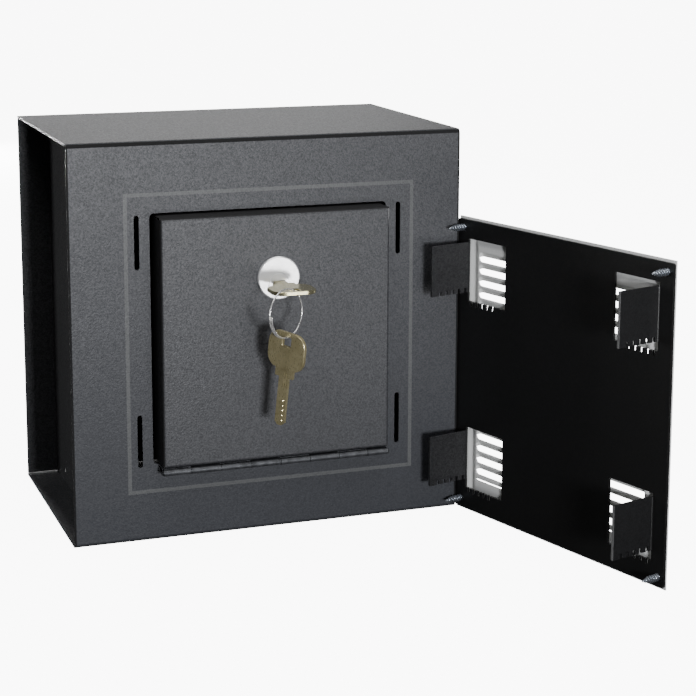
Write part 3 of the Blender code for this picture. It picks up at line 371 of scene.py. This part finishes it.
def grille_rows(end_share):
    """Heights and outward steps of every row of the grille's sheet, from its top edge down.

    end_share holds one number for each column of points: 1 along a louvre, falling to 0 along a quarter
    circle at its ends and staying 0 in the margins. A louvre's rows run down the rib to the root of the
    hood, out and down a quarter ellipse to the lip, and start again at the gap's lower edge. All of these
    close to the louvre's middle line as end_share falls to 0. Returns (heights, outs, gaps), where gaps
    marks the rows that have a gap under them.
    """
    flat = np.zeros_like(end_share)
    slit = LOUVRE_TOP - LOUVRE_COUNT * LOUVRE_PITCH - SLIT_HEIGHT / 2
    top_margin = GRILLE_HEIGHT - LOUVRE_TOP - LOUVRE_MARGIN
    rows = [(flat + height, flat, False)
            for height in GRILLE_HEIGHT - np.linspace(0, top_margin, MARGIN_ROWS)]
    for number in range(LOUVRE_COUNT):
        middle = LOUVRE_TOP - number * LOUVRE_PITCH - LOUVRE_GAP / 2
        half = LOUVRE_GAP / 2 * end_share
        root = middle + half + LOUVRE_ROOT * end_share
        lip = middle + half - LOUVRE_LIP * end_share
        for angle in np.linspace(math.pi / 2, 0, HOOD_ROWS):
            rows.append((lip + (root - lip) * math.sin(angle), LOUVRE_OUT * math.cos(angle) * end_share,
                         angle == 0))
        rows.append((middle - half, flat, False))
    rows.append((slit + SLIT_HEIGHT / 2 * end_share, flat, True))
    rows.append((slit - SLIT_HEIGHT / 2 * end_share, flat, False))
    rows += [(flat + height, flat, False) for height in np.linspace(slit - LOUVRE_MARGIN, 0, MARGIN_ROWS)]
    heights, outs, gaps = zip(*rows)
    return np.array(heights), np.array(outs), np.array(gaps)


def grille_columns():
    """Places along the sheet: close together at the bead and round a louvre's ends."""
    end = LOUVRE_LENGTH / 2
    cap = LOUVRE_GAP / 2
    turn = np.linspace(0, math.pi / 2, END_COLUMNS)
    margin = np.linspace(GRILLE_WIDTH / 2, end, MARGIN_COLUMNS)[:-1]
    side = np.concatenate([margin, end - cap + cap * np.cos(turn)])
    inner = np.linspace(end - cap, cap - end, LOUVRE_COLUMNS)[1:-1]
    return np.concatenate([-side, inner[::-1], side[::-1]])


def pressed_grille():
    """The grille as one sheet: louvres pressed outwards, and a shallow bead pressed along all four edges.

    The bead stands out by BEAD_OUT * exp(-(d / BEAD_HALF) ** 2), where d is the distance from the line
    BEAD_INSET inside the nearest edge.
    """
    across = grille_columns()
    past = np.clip((np.abs(across) - (LOUVRE_LENGTH - LOUVRE_GAP) / 2) / (LOUVRE_GAP / 2), 0, 1)
    heights, outs, gaps = grille_rows(np.sqrt(1 - past * past))
    wide = np.broadcast_to(across, heights.shape)
    from_edge = np.minimum(GRILLE_WIDTH / 2 - np.abs(wide), np.minimum(heights, GRILLE_HEIGHT - heights))
    outs = outs + BEAD_OUT * np.exp(-((from_edge - BEAD_INSET) / BEAD_HALF) ** 2)
    local = np.stack([wide + GRILLE_WIDTH / 2, heights, GRILLE_BACK - outs], axis=-1)
    points = in_frame(local, COVER_ORIGIN, COVER_ALONG, UP, COVER_TOWARDS)
    rows, columns = heights.shape
    quads = grid_quads(rows, columns).reshape(rows - 1, columns - 1, 4)
    louvre = (np.abs(across[:-1] + across[1:]) / 2 < LOUVRE_LENGTH / 2)[None] & gaps[:-1, None]
    mesh = bpy.data.meshes.new("grille_sheet")
    mesh.from_pydata(points.reshape(-1, 3).tolist(), [], quads[~louvre].tolist())
    mended(mesh, merge=SHEET_MERGE, sliver=SHEET_SLIVER, outward=False)
    helper = linked("grille_sheet", mesh)
    sheet = helper.modifiers.new("sheet", "SOLIDIFY")
    sheet.thickness = GRILLE_SHEET
    sheet.offset = -1 if mesh.polygons[0].normal.dot(Vector(COVER_TOWARDS)) > 0 else 1
    round_edges(helper, CUT_ROUNDING, CUT_TURN)
    solid = carried_out(helper)
    solid.name = "pressed_grille"
    return mended(solid)


# Shader groups and materials

EDGE_MASK_FULL = 0.72
EDGE_MASK_RANGE = 0.4
EDGE_BREAK_SCALE = 1100.0       # of the noise that breaks up the paler rounded edges: worn coat, and on some coats a painted highlight
TONE_LOW = 0.28           # the range of the pebbles' tone that runs from a coat's dark colour to its pale one
TONE_HIGH = 0.68
DRIFT_SHARE = 0.25        # how far the slow drift darkens a coat
ROUGHNESS_SWING = 0.07    # how far a coat's roughness follows its tone
ZONE_FADE = 0.0002


def feed(tree, node, inputs):
    """Sets a node's inputs, or links those that are given a socket."""
    for key, value in inputs.items():
        if isinstance(value, bpy.types.NodeSocket):
            tree.links.new(value, node.inputs[key])
        else:
            node.inputs[key].default_value = value
    return node.outputs


def add(tree, kind, inputs=None, **settings):
    """A node with its settings, and its inputs set or linked."""
    node = tree.nodes.new(kind)
    for key, value in settings.items():
        setattr(node, key, value)
    feed(tree, node, inputs or {})
    return node


def calc(tree, operation, *values):
    """The result of a Math node on values or sockets."""
    return add(tree, "ShaderNodeMath", dict(enumerate(values)), operation=operation).outputs[0]


def blend_colour(tree, share, first, second):
    """Two colours mixed by a share."""
    return add(tree, "ShaderNodeMix", {0: share, 6: first, 7: second}, data_type="RGBA").outputs[2]


def remap(tree, value, low, high, to_low, to_high):
    """A value carried from one range to another and held at its ends."""
    inputs = {0: value, 1: low, 2: high, 3: to_low, 4: to_high}
    return add(tree, "ShaderNodeMapRange", inputs, clamp=True).outputs[0]


def new_group(name, inputs, results):
    """An empty shader group that takes a place and the named inputs, and its two end nodes."""
    tree = bpy.data.node_groups.new(name, "ShaderNodeTree")
    tree.interface.new_socket("Vector", in_out="INPUT", socket_type="NodeSocketVector")
    for label, value in inputs.items():
        kind = "NodeSocketVector" if isinstance(value, tuple) else "NodeSocketFloat"
        tree.interface.new_socket(label, in_out="INPUT", socket_type=kind).default_value = value
    for label in results:
        tree.interface.new_socket(label, in_out="OUTPUT", socket_type="NodeSocketFloat")
    return tree, tree.nodes.new("NodeGroupInput").outputs, tree.nodes.new("NodeGroupOutput")


def pebble_group():
    """Powder coat: rounded pebbles on an orange-peel swell, flecks of a cell each and a slow drift."""
    tree, given, out = new_group("pebbled_coat", {"Pebble": 900.0}, ("Height", "Tone", "Drift"))
    place = given["Vector"]
    fine = calc(tree, "MULTIPLY", given["Pebble"], 0.8)
    finer = calc(tree, "MULTIPLY", given["Pebble"], 1.5)
    pebble = add(tree, "ShaderNodeTexVoronoi", {"Vector": place, "Scale": given["Pebble"],
                                                "Smoothness": 0.6}, feature="SMOOTH_F1").outputs["Distance"]
    swell = add(tree, "ShaderNodeTexNoise", {"Vector": place, "Scale": fine, "Detail": 3.0,
                                             "Roughness": 0.6}).outputs[0]
    cells = add(tree, "ShaderNodeTexVoronoi", {"Vector": place, "Scale": finer}).outputs["Color"]
    fleck = add(tree, "ShaderNodeSeparateColor", {0: cells}).outputs[0]
    drift = add(tree, "ShaderNodeTexNoise", {"Vector": place, "Scale": 14.0, "Detail": 2.0}).outputs[0]
    height = calc(tree, "SUBTRACT", calc(tree, "MULTIPLY", swell, 1.2), pebble)
    tone = calc(tree, "ADD", calc(tree, "MULTIPLY", swell, 0.6), calc(tree, "MULTIPLY", fleck, 0.4))
    feed(tree, out, {"Height": height, "Tone": tone, "Drift": drift})
    return tree


def brush_group():
    """Fine drawn lines in metal: noise stretched by the factors given along each axis."""
    tree, given, out = new_group("drawn_lines", {"Stretch": (400.0, 3000.0, 3000.0)}, ("Height", "Tone"))
    place = given["Vector"]
    stretched = add(tree, "ShaderNodeVectorMath", {0: place, 1: given["Stretch"]},
                    operation="MULTIPLY").outputs[0]
    lines = add(tree, "ShaderNodeTexNoise", {"Vector": stretched, "Scale": 1.0, "Detail": 3.0}).outputs[0]
    patches = add(tree, "ShaderNodeTexNoise", {"Vector": place, "Scale": 260.0, "Detail": 3.0}).outputs[0]
    feed(tree, out, {"Height": lines, "Tone": patches})
    return tree


def edge_group():
    """Where the coat is thin, and where some coats take a painted highlight: the rounded edges' own
    attribute, broken up by noise.

    The mask is whole where the noise reaches EDGE_MASK_FULL, and the Amount widens the range below it.
    """
    tree, given, out = new_group("edge_wear_and_highlight_mask", {"Break": 900.0, "Amount": 0.5}, ("Mask",))
    edge = add(tree, "ShaderNodeAttribute", attribute_name="edge").outputs["Fac"]
    noise = add(tree, "ShaderNodeTexNoise", {"Vector": given["Vector"], "Scale": given["Break"],
                                             "Detail": 2.0}).outputs[0]
    start = calc(tree, "SUBTRACT", EDGE_MASK_FULL, calc(tree, "MULTIPLY", given["Amount"], EDGE_MASK_RANGE))
    broken = remap(tree, noise, start, EDGE_MASK_FULL, 0.0, 1.0)
    feed(tree, out, {"Mask": calc(tree, "MULTIPLY", edge, broken)})
    return tree


def line_group():
    """The thin painted frame on the front plate: inside its outer outline and outside its inner one."""
    tree, given, out = new_group("painted_line", {}, ("Mask",))
    axes = add(tree, "ShaderNodeSeparateXYZ", {0: given["Vector"]}).outputs
    centre_x = (LINE_LEFT + LINE_RIGHT) / 2 - CASE_WIDTH / 2
    centre_z = (LINE_LOW + LINE_HIGH) / 2
    from_x = calc(tree, "ABSOLUTE", calc(tree, "SUBTRACT", axes["X"], centre_x))
    from_z = calc(tree, "ABSOLUTE", calc(tree, "SUBTRACT", axes["Z"], centre_z))
    past = calc(tree, "MAXIMUM", calc(tree, "SUBTRACT", from_x, (LINE_RIGHT - LINE_LEFT) / 2),
                calc(tree, "SUBTRACT", from_z, (LINE_HIGH - LINE_LOW) / 2))
    inside = calc(tree, "LESS_THAN", past, 0.0)
    outside = calc(tree, "GREATER_THAN", past, -LINE_WIDTH)
    front = calc(tree, "LESS_THAN", axes["Y"], FRONT + CASE_SHEET / 3)
    feed(tree, out, {"Mask": calc(tree, "MULTIPLY", calc(tree, "MULTIPLY", inside, outside), front)})
    return tree


def zone_group():
    """Where a piece lies past a level along a direction, softened over a short fade."""
    inputs = {"Direction": (0.0, 0.0, 1.0), "Level": 0.0, "Fade": ZONE_FADE}
    tree, given, out = new_group("zone", inputs, ("Mask",))
    reach = add(tree, "ShaderNodeVectorMath", {0: given["Vector"], 1: given["Direction"]},
                operation="DOT_PRODUCT").outputs["Value"]
    end = calc(tree, "ADD", given["Level"], given["Fade"])
    feed(tree, out, {"Mask": remap(tree, reach, given["Level"], end, 0.0, 1.0)})
    return tree


PEBBLES = pebble_group()
ZONE = zone_group()
BRUSHING = brush_group()
EDGE_WEAR_AND_HIGHLIGHT = edge_group()
PAINTED_LINE = line_group()


def new_material(name, roughness, metallic=0.0):
    """A material with its tree, its Principled shader and the Object coordinates."""
    material = bpy.data.materials.new(name)
    material.use_nodes = True
    tree = material.node_tree
    shader = tree.nodes["Principled BSDF"]
    feed(tree, shader, {"Roughness": roughness, "Metallic": metallic})
    return material, tree, shader, tree.nodes.new("ShaderNodeTexCoord").outputs["Object"]


def use(tree, group, inputs):
    """A shader group placed in a material."""
    return feed(tree, add(tree, "ShaderNodeGroup", node_tree=group), inputs)


def masked(tree, place, direction, level, fade):
    """The mask of a zone."""
    return use(tree, ZONE, {"Vector": place, "Direction": direction, "Level": level, "Fade": fade})["Mask"]


def powder_coat(name, dark, pale, edge, roughness, depth, wear_and_highlight, pebble=900.0, painted_line=False,
                second=None, shades=()):
    """Textured powder coat whose tone, roughness and height follow its pebbles.

    The argument after depth is how far its rounded edges show the edge colour: worn coat, and on some coats a
    painted highlight as well. second is (dark, pale, depth, direction, level) of a coarser coat past a level
    along a direction. The shades are painted shade and painted highlights: each is (colour, roughness, share,
    zones), and turns the coat that far towards the colour and the roughness where all its zones hold. A zone
    is (direction, level, fade): it begins at the level and is whole a fade further on.
    """
    material, tree, shader, place = new_material(name, roughness)
    coat = use(tree, PEBBLES, {"Vector": place, "Pebble": pebble})
    tone = remap(tree, coat["Tone"], TONE_LOW, TONE_HIGH, 0.0, 1.0)
    colour = blend_colour(tree, tone, (*dark, 1), (*pale, 1))
    height = coat["Height"]
    if second:
        other_dark, other_pale, other_depth, direction, level = second
        past = masked(tree, place, direction, level, ZONE_FADE)
        other = blend_colour(tree, tone, (*other_dark, 1), (*other_pale, 1))
        colour = blend_colour(tree, past, colour, other)
        height = calc(tree, "MULTIPLY", height, remap(tree, past, 0.0, 1.0, 1.0, other_depth / depth))
    drift = remap(tree, coat["Drift"], 0.3, 0.7, 0.0, 1.0)
    colour = blend_colour(tree, calc(tree, "MULTIPLY", drift, DRIFT_SHARE), colour, (*dark, 1))
    rough = remap(tree, coat["Tone"], 0.2, 0.7, roughness + ROUGHNESS_SWING, roughness - ROUGHNESS_SWING)
    # Painted shade and painted highlights, each where all its zones hold
    for shade, dullness, share, zones in shades:
        for zone in zones:
            share = calc(tree, "MULTIPLY", masked(tree, place, *zone), share)
        colour = blend_colour(tree, share, colour, (*shade, 1))
        duller = calc(tree, "MULTIPLY", share, calc(tree, "SUBTRACT", dullness, rough))
        rough = calc(tree, "ADD", rough, duller)
    if painted_line:
        line = use(tree, PAINTED_LINE, {"Vector": place})["Mask"]
        worn = remap(tree, coat["Tone"], 0.2, 0.5, 0.6, 0.9)
        colour = blend_colour(tree, calc(tree, "MULTIPLY", line, worn), colour, (*LINE_GREY, 1))
    # Rounded edges turn to the edge colour: worn coat, and on some coats a painted highlight
    if wear_and_highlight:
        mask = use(tree, EDGE_WEAR_AND_HIGHLIGHT, {"Vector": place, "Break": EDGE_BREAK_SCALE, "Amount": wear_and_highlight})["Mask"]
        colour = blend_colour(tree, mask, colour, (*edge, 1))
    bump = add(tree, "ShaderNodeBump", {"Strength": 0.6, "Distance": depth, "Height": height}).outputs[0]
    feed(tree, shader, {"Base Color": colour, "Roughness": rough, "Normal": bump})
    return material


def bare_metal(name, dark, pale, roughness, stretch, depth=0.00002, spread=0.08, tarnish=None,
               metallic=1.0, painted_edge_shade=None):
    """Bare or plated metal with drawn lines and patches of tone.

    tarnish is the colour of a dull film in patches. The last argument is the colour of painted shade along
    rounded edges, which darkens the gaps between the hinge's knuckles.
    """
    material, tree, shader, place = new_material(name, roughness, metallic)
    lines = use(tree, BRUSHING, {"Vector": place, "Stretch": stretch})
    tone = remap(tree, lines["Tone"], 0.3, 0.7, 0.0, 1.0)
    colour = blend_colour(tree, tone, (*dark, 1), (*pale, 1))
    if tarnish:
        film = add(tree, "ShaderNodeTexNoise", {"Vector": place, "Scale": 90.0, "Detail": 4.0}).outputs[0]
        colour = blend_colour(tree, remap(tree, film, 0.45, 0.7, 0.0, 0.7), colour, (*tarnish, 1))
    # Painted shade along the rounded edges
    if painted_edge_shade:
        edge = add(tree, "ShaderNodeAttribute", attribute_name="edge").outputs["Fac"]
        colour = blend_colour(tree, edge, colour, (*painted_edge_shade, 1))
    rough = remap(tree, lines["Height"], 0.3, 0.7, roughness - spread, roughness + spread)
    feed(tree, shader, {"Base Color": colour, "Roughness": rough})
    if depth:
        bump = add(tree, "ShaderNodeBump", {"Strength": 0.4, "Distance": depth, "Height": lines["Height"]})
        feed(tree, shader, {"Normal": bump.outputs[0]})
    return material


LEFTWARD = (-1.0, 0.0, 0.0)
RIGHTWARD = (1.0, 0.0, 0.0)
FORWARD = (0.0, -1.0, 0.0)
UPWARD = (0.0, 0.0, 1.0)
DOWNWARD = (0.0, 0.0, -1.0)
LINE_GREY = (0.090, 0.092, 0.092)
# painted shade: the lines along the wrap's edges, the door's flanges and the right tabs
PAINTED_SHADE_BLACK = (0.003, 0.003, 0.003)
# a bare cut edge, with a painted highlight
CUT_EDGE_WITH_HIGHLIGHT = (0.42, 0.42, 0.43)
# painted shade, darker and bluer low on the wrap's front
PAINTED_SHADE_BLUE = (0.016, 0.0185, 0.026)
# painted highlight on the right tabs' ends
TAB_END_HIGHLIGHT = (0.16, 0.16, 0.16)
CHARCOAL_EDGE = (0.17, 0.17, 0.18)
# the door's bends: worn coat with a painted highlight
WORN_AND_HIGHLIT_EDGE = (0.22, 0.22, 0.23)
TEXTURE_DEPTH = 0.00013   # how deep the bump of a coarse coat is
CHARCOAL_COAT = {"dark": (0.026, 0.027, 0.030), "pale": (0.066, 0.067, 0.072), "roughness": 0.50,
                 "depth": TEXTURE_DEPTH}
CHARCOAL = powder_coat("charcoal_paint", edge=CHARCOAL_EDGE, wear_and_highlight=0.35, **CHARCOAL_COAT)

# The wrap's front is duller and darker towards the bottom, turning bluer: painted shade. The left cut edge of
# its top sheet is pale: bare steel with a painted highlight. A line of painted shade runs along each edge of
# its front plate. The line at the top lies on the fold.
ON_FRONT = (FORWARD, -FRONT - 0.0003, 0.0001)
ON_FOLD = (FORWARD, -FRONT - 0.0024, 0.0003)
UNDER_TOP = (DOWNWARD, -CASE_HEIGHT + 0.0004, 0.0003)
# The painted shade lines along the front plate's edges
PAINTED_SHADE_LINE = 0.0013        # how far in the line reaches from the plate's left and right edges
PAINTED_SHADE_LINE_LOW = 0.0018    # and from the underside
PAINTED_SHADE_LINE_HIGH = 0.0028   # and from the top
CASE_SHADES = (
    (PAINTED_SHADE_BLUE, 0.62, 0.60, ((DOWNWARD, -CASE_HEIGHT, CASE_HEIGHT), ON_FRONT)),
    (CUT_EDGE_WITH_HIGHLIGHT, 0.45, 0.9, ((LEFTWARD, CASE_WIDTH / 2 - 0.0004, 0.0001),
                           (UPWARD, CASE_HEIGHT - CASE_SHEET - 0.0002, 0.0002))),
    (PAINTED_SHADE_BLACK, 1.0, 0.95, ((UPWARD, CASE_HEIGHT - PAINTED_SHADE_LINE_HIGH, 0.0003), UNDER_TOP, ON_FOLD)),
    (PAINTED_SHADE_BLACK, 1.0, 0.9, ((DOWNWARD, -PAINTED_SHADE_LINE_LOW, 0.0003), ON_FRONT)),
    (PAINTED_SHADE_BLACK, 1.0, 0.9, ((LEFTWARD, CASE_WIDTH / 2 - PAINTED_SHADE_LINE, 0.0003), ON_FRONT)),
    (PAINTED_SHADE_BLACK, 1.0, 0.9, ((RIGHTWARD, CASE_WIDTH / 2 - PAINTED_SHADE_LINE, 0.0003), ON_FRONT)),
)
CASE = powder_coat("charcoal_paint_of_case", edge=CHARCOAL_EDGE, wear_and_highlight=0.35, painted_line=True,
                   shades=CASE_SHADES, **CHARCOAL_COAT)

# The door's top and left flanges are painted nearly black, a painted shade where they lie in shadow, and its
# bends are paler: worn coat with a painted highlight
DOOR_LOW, DOOR_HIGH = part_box("door_panel")
DOOR_SHADES = (
    (PAINTED_SHADE_BLACK, 0.85, 0.85, ((UPWARD, DOOR_HIGH[2] - 0.0010, 0.0004),)),
    (PAINTED_SHADE_BLACK, 0.70, 0.85, ((LEFTWARD, -DOOR_LOW[0] - 0.0010, 0.0004),)),
)
DOOR = powder_coat("charcoal_paint_of_door", edge=WORN_AND_HIGHLIT_EDGE, wear_and_highlight=0.7, shades=DOOR_SHADES, **CHARCOAL_COAT)

# The hook plate is smooth black and its tabs are a coarser black. The right ones are darker, a painted shade,
# and have pale ends, a painted highlight.
TAB_START = 0.0012        # from the cover's frame towards the safe, to where the coarser coat begins
TOWARDS = tuple(COVER_TOWARDS)
ALONG = tuple(COVER_ALONG)
TAB_ROOT = float(COVER_TOWARDS @ COVER_ORIGIN) + TAB_START
HOOK_POINTS = np.array([corner.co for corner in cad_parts["hook_plate"].data.vertices])
TAB_END = float((HOOK_POINTS @ COVER_TOWARDS).max())
RIGHT_HALF = (ALONG, float(COVER_ALONG @ COVER_ORIGIN) + GRILLE_WIDTH / 2, ZONE_FADE)
TAB_SHADES = (
    (PAINTED_SHADE_BLACK, 0.45, 0.65, (RIGHT_HALF, (TOWARDS, TAB_ROOT, ZONE_FADE))),
    (TAB_END_HIGHLIGHT, 0.45, 0.8, (RIGHT_HALF, (TOWARDS, TAB_END - 0.0004, 0.0001))),
)
TAB_COAT = ((0.009, 0.009, 0.010), (0.034, 0.034, 0.036), TEXTURE_DEPTH, TOWARDS, TAB_ROOT)
# The hook plate's rounded edges are paler: worn coat with a painted highlight.
BLACK = powder_coat("black_paint", (0.005, 0.005, 0.005), (0.009, 0.009, 0.009), (0.14, 0.14, 0.14), 0.40,
                    0.00002, wear_and_highlight=0.9, second=TAB_COAT, shades=TAB_SHADES)
WHITE = powder_coat("white_paint", (0.72, 0.73, 0.71), (0.80, 0.80, 0.78), (0.86, 0.86, 0.85), 0.42,
                    0.00002, wear_and_highlight=0.0, pebble=1400.0)

# Metals. Their stretch is the scale of the drawn lines' noise along X, Y and Z, in cells a metre.
CHROME = bare_metal("chrome_plate", (0.90, 0.90, 0.91), (0.95, 0.95, 0.95), 0.17, (300.0, 300.0, 300.0),
                    depth=0.0, spread=0.02, metallic=0.55)
WIRE = bare_metal("nickel_wire", (0.80, 0.79, 0.77), (0.92, 0.91, 0.90), 0.22, (900.0, 900.0, 900.0),
                  0.000003, 0.04, metallic=0.75)
BRASS = bare_metal("olive_brass", (0.42, 0.365, 0.20), (0.51, 0.45, 0.26), 0.30, (2600.0, 500.0, 500.0),
                   0.00001, 0.05, tarnish=(0.35, 0.30, 0.16), metallic=0.6)
LOCK_BRASS = bare_metal("bright_brass", (0.60, 0.55, 0.33), (0.70, 0.65, 0.42), 0.20,
                        (2600.0, 500.0, 500.0), 0.000005, 0.04, metallic=0.9)
PIN_BRASS = bare_metal("pin_brass", (0.60, 0.47, 0.22), (0.72, 0.58, 0.30), 0.25, (900.0, 900.0, 900.0))
STEEL = bare_metal("zinc_plated_steel", (0.48, 0.49, 0.50), (0.60, 0.60, 0.61), 0.34,
                   (900.0, 2400.0, 900.0))
# Its rounded edges are near black: painted shade in the gaps between the knuckles.
HINGE = bare_metal("dulled_steel", (0.05, 0.052, 0.056), (0.11, 0.113, 0.12), 0.55,
                   (240.0, 2600.0, 2600.0), metallic=0.6, painted_edge_shade=(0.004, 0.004, 0.004))
ZINC = bare_metal("bright_zinc", (0.42, 0.46, 0.52), (0.60, 0.64, 0.70), 0.24, (900.0, 900.0, 900.0),
                  metallic=0.9)


# Pieces: the CAD shapes that stay, with how far their edges are rounded

EDGE = 0.00035
FINE_EDGE = 0.00015
HINGE_EDGE = 0.0005
LOCK_EDGE = 0.0003
KEY_EDGE = 0.0004
PIECES = (
    ("casing_wrap", EDGE, CASE, "safe", "charcoal_paint"),
    ("back_plate", EDGE, CHARCOAL, "safe", "charcoal_paint"),
    ("left_wall", EDGE, CHARCOAL, "safe", "charcoal_paint"),
    ("right_wall", EDGE, CHARCOAL, "safe", "charcoal_paint"),
    ("strike_bracket", EDGE, CHARCOAL, "safe", "charcoal_paint"),
    ("hinge_body_leaf", HINGE_EDGE, HINGE, "safe", "dulled_steel"),
    ("hinge_pin", FINE_EDGE, HINGE, "safe", "dulled_steel"),
    ("door_panel", EDGE, DOOR, "door", "charcoal_paint"),
    ("hinge_door_leaf", HINGE_EDGE, HINGE, "door", "dulled_steel"),
    ("lock_housing", LOCK_EDGE, CHROME, "door", "chrome"),
    ("lock_washer", FINE_EDGE, STEEL, "door", "zinc_plated_steel"),
    ("lock_nut", EDGE, STEEL, "door", "zinc_plated_steel"),
    ("lock_plug", LOCK_EDGE, CHROME, "lock", "chrome"),
    ("lock_cam", EDGE, STEEL, "lock", "zinc_plated_steel"),
    ("cam_washer", FINE_EDGE, STEEL, "lock", "zinc_plated_steel"),
    ("cam_screw", FINE_EDGE, STEEL, "lock", "zinc_plated_steel"),
    ("key", KEY_EDGE, LOCK_BRASS, "lock_key", "olive_brass"),
    ("spare_key", KEY_EDGE, BRASS, "hanging_key", "olive_brass"),
    ("hook_plate", EDGE, BLACK, "cover", "black_paint"),
)
for node, width, material, body, slot in PIECES:
    cuts = key_cuts(node) if node in KEY_FRAMES else None
    mirror = FORWARD if material is CHROME else None
    stand_in(linked(node + "_eased", eased(node, width, material, cuts, mirror)), body, node)

# The tumblers keep their CAD meshes
for number in range(1, 6):
    for kind, material in (("driver_pin", PIN_BRASS), ("key_pin", PIN_BRASS), ("pin_spring", STEEL)):
        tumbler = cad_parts[f"{kind}_{number}"].data
        tumbler.materials.clear()
        tumbler.materials.append(material)

shown("split_ring", surface("split_ring", split_ring()), WIRE, "ring", "key_ring", sharp=60)
shown("pressed_grille", pressed_grille(), WHITE, "cover", "vent_grille")

SCREW = screw_grid()
for corner, x, y in SCREW_PLACES:
    node = "cover_screw_" + corner
    thread = in_frame(SCREW, COVER_ORIGIN + x * COVER_ALONG + y * UP, COVER_ALONG, UP, COVER_TOWARDS)
    shown(node + "_thread", surface(node + "_thread", thread), ZINC, "cover", node, sharp=50)


# Stage: what the camera sees of the floor and the surround is brighter than the light they give
SEEN_GLOW = 9.0
SURROUND_LIGHT = 0.055
FLOOR_HALF = 30.0
FLOOR_SEEN = (0.85, 0.85, 0.85, 1)
FLOOR_LIT = (0.06, 0.06, 0.06, 1)
PURE_WHITE = (1, 1, 1, 1)

# Lights: place, the point that each faces, size across and along, power and colour. The cards lie on the
# floor in front, for the lock's face and the keys to reflect.
LIGHTS = (
    ("overhead", (0.0, -0.45, 1.1), (0, 0, 0.15), (0.9, 0.9), 8.0, (1.0, 1.0, 1.0)),
    ("front", (-0.08, -1.9, 0.27), (0, 0, 0.13), (0.25, 0.25), 28.0, (0.95, 0.965, 1.0)),
    ("back", (0.3, 1.3, 0.75), (0, 0, 0.25), (0.8, 0.8), 3.7, (1.0, 1.0, 1.0)),
    ("rear", (-0.15, 2.0, 0.12), (0, 0, 0.12), (0.24, 0.24), 32.0, (1.0, 1.0, 1.0)),
    ("right", (1.9, 0.25, 0.14), (0, 0, 0.12), (0.26, 0.26), 22.0, (1.0, 1.0, 1.0)),
    ("left", (-1.2, 0.6, 0.35), (-0.1, 0.05, 0.13), (0.6, 0.6), 3.0, (1.0, 1.0, 1.0)),
    ("near_card", (0.25, -0.785, 0.004), (0.25, -0.785, 1.0), (0.34, 0.170), 1.5, (1.0, 1.0, 1.0)),
    ("far_card", (0.27, -1.045, 0.004), (0.27, -1.045, 1.0), (0.34, 0.318), 2.8, (1.0, 1.0, 1.0)),
)

# Camera: its place, how far it turns to the right, looks down and rolls, and its lens
CAMERA_PLACE = (-0.3434, -1.1791, 0.3933)
CAMERA_TURN = 19.819
CAMERA_DOWN = 10.357
CAMERA_ROLL = 0.14
CAMERA_LENS = 96.0
CAMERA_SENSOR = 36.0
CAMERA_SHIFT = -0.1437


def show_to_camera(tree, output, otherwise, seen):
    """Gives one shader to the camera's own rays and another to all the rest."""
    out = tree.nodes.new(output)
    eye = tree.nodes.new("ShaderNodeLightPath").outputs["Is Camera Ray"]
    mix = add(tree, "ShaderNodeMixShader", {0: eye, 1: otherwise, 2: seen}).outputs[0]
    feed(tree, out, {"Surface": mix})


def floor():
    """A plain white floor that runs out of sight. It looks brighter than the light it throws back."""
    side = FLOOR_HALF
    mesh = bpy.data.meshes.new("floor")
    corners = [(-side, -side, 0), (side, -side, 0), (side, side, 0), (-side, side, 0)]
    mesh.from_pydata(corners, [], [(0, 1, 2, 3)])
    material = bpy.data.materials.new("floor")
    material.use_nodes = True
    tree = material.node_tree
    tree.nodes.clear()
    lit = add(tree, "ShaderNodeBsdfDiffuse", {"Color": FLOOR_LIT}).outputs[0]
    bright = add(tree, "ShaderNodeBsdfDiffuse", {"Color": FLOOR_SEEN}).outputs[0]
    glow = add(tree, "ShaderNodeEmission", {"Color": PURE_WHITE, "Strength": SEEN_GLOW}).outputs[0]
    seen = add(tree, "ShaderNodeAddShader", {0: bright, 1: glow}).outputs[0]
    show_to_camera(tree, "ShaderNodeOutputMaterial", lit, seen)
    mesh.materials.append(material)
    linked("floor", mesh)


def surround():
    """A plain white surround."""
    sky = bpy.data.worlds.new("surround")
    bpy.context.scene.world = sky
    sky.use_nodes = True
    tree = sky.node_tree
    tree.nodes.clear()
    light = add(tree, "ShaderNodeBackground", {"Color": PURE_WHITE, "Strength": SURROUND_LIGHT}).outputs[0]
    seen = add(tree, "ShaderNodeBackground", {"Color": PURE_WHITE, "Strength": SEEN_GLOW}).outputs[0]
    show_to_camera(tree, "ShaderNodeOutputWorld", light, seen)


def area_light(name, place, target, size, power, colour):
    """A soft light that faces a point and isn't seen itself."""
    data = bpy.data.lights.new(name, "AREA")
    data.shape = "RECTANGLE"
    data.size, data.size_y = size
    data.energy = power
    data.color = colour
    lamp = linked(name, data)
    lamp.visible_camera = False
    facing = Vector(np.subtract(place, target)).to_track_quat("Z", "Y")
    lamp.matrix_world = Matrix.Translation(place) @ facing.to_matrix().to_4x4()


def camera():
    """The photograph's camera: a long lens to the left of the safe and above it, looking a little down."""
    data = bpy.data.cameras.new("camera")
    data.lens = CAMERA_LENS
    data.sensor_width = CAMERA_SENSOR
    data.shift_y = CAMERA_SHIFT
    data.clip_start = 0.05
    data.clip_end = 100.0
    eye = linked("camera", data)
    eye.matrix_world = (Matrix.Translation(CAMERA_PLACE)
                        @ Matrix.Rotation(math.radians(-CAMERA_TURN), 4, "Z")
                        @ Matrix.Rotation(math.radians(90 - CAMERA_DOWN), 4, "X")
                        @ Matrix.Rotation(math.radians(CAMERA_ROLL), 4, "Z"))
    bpy.context.scene.camera = eye


floor()
surround()
for light in LIGHTS:
    area_light(*light)
camera()
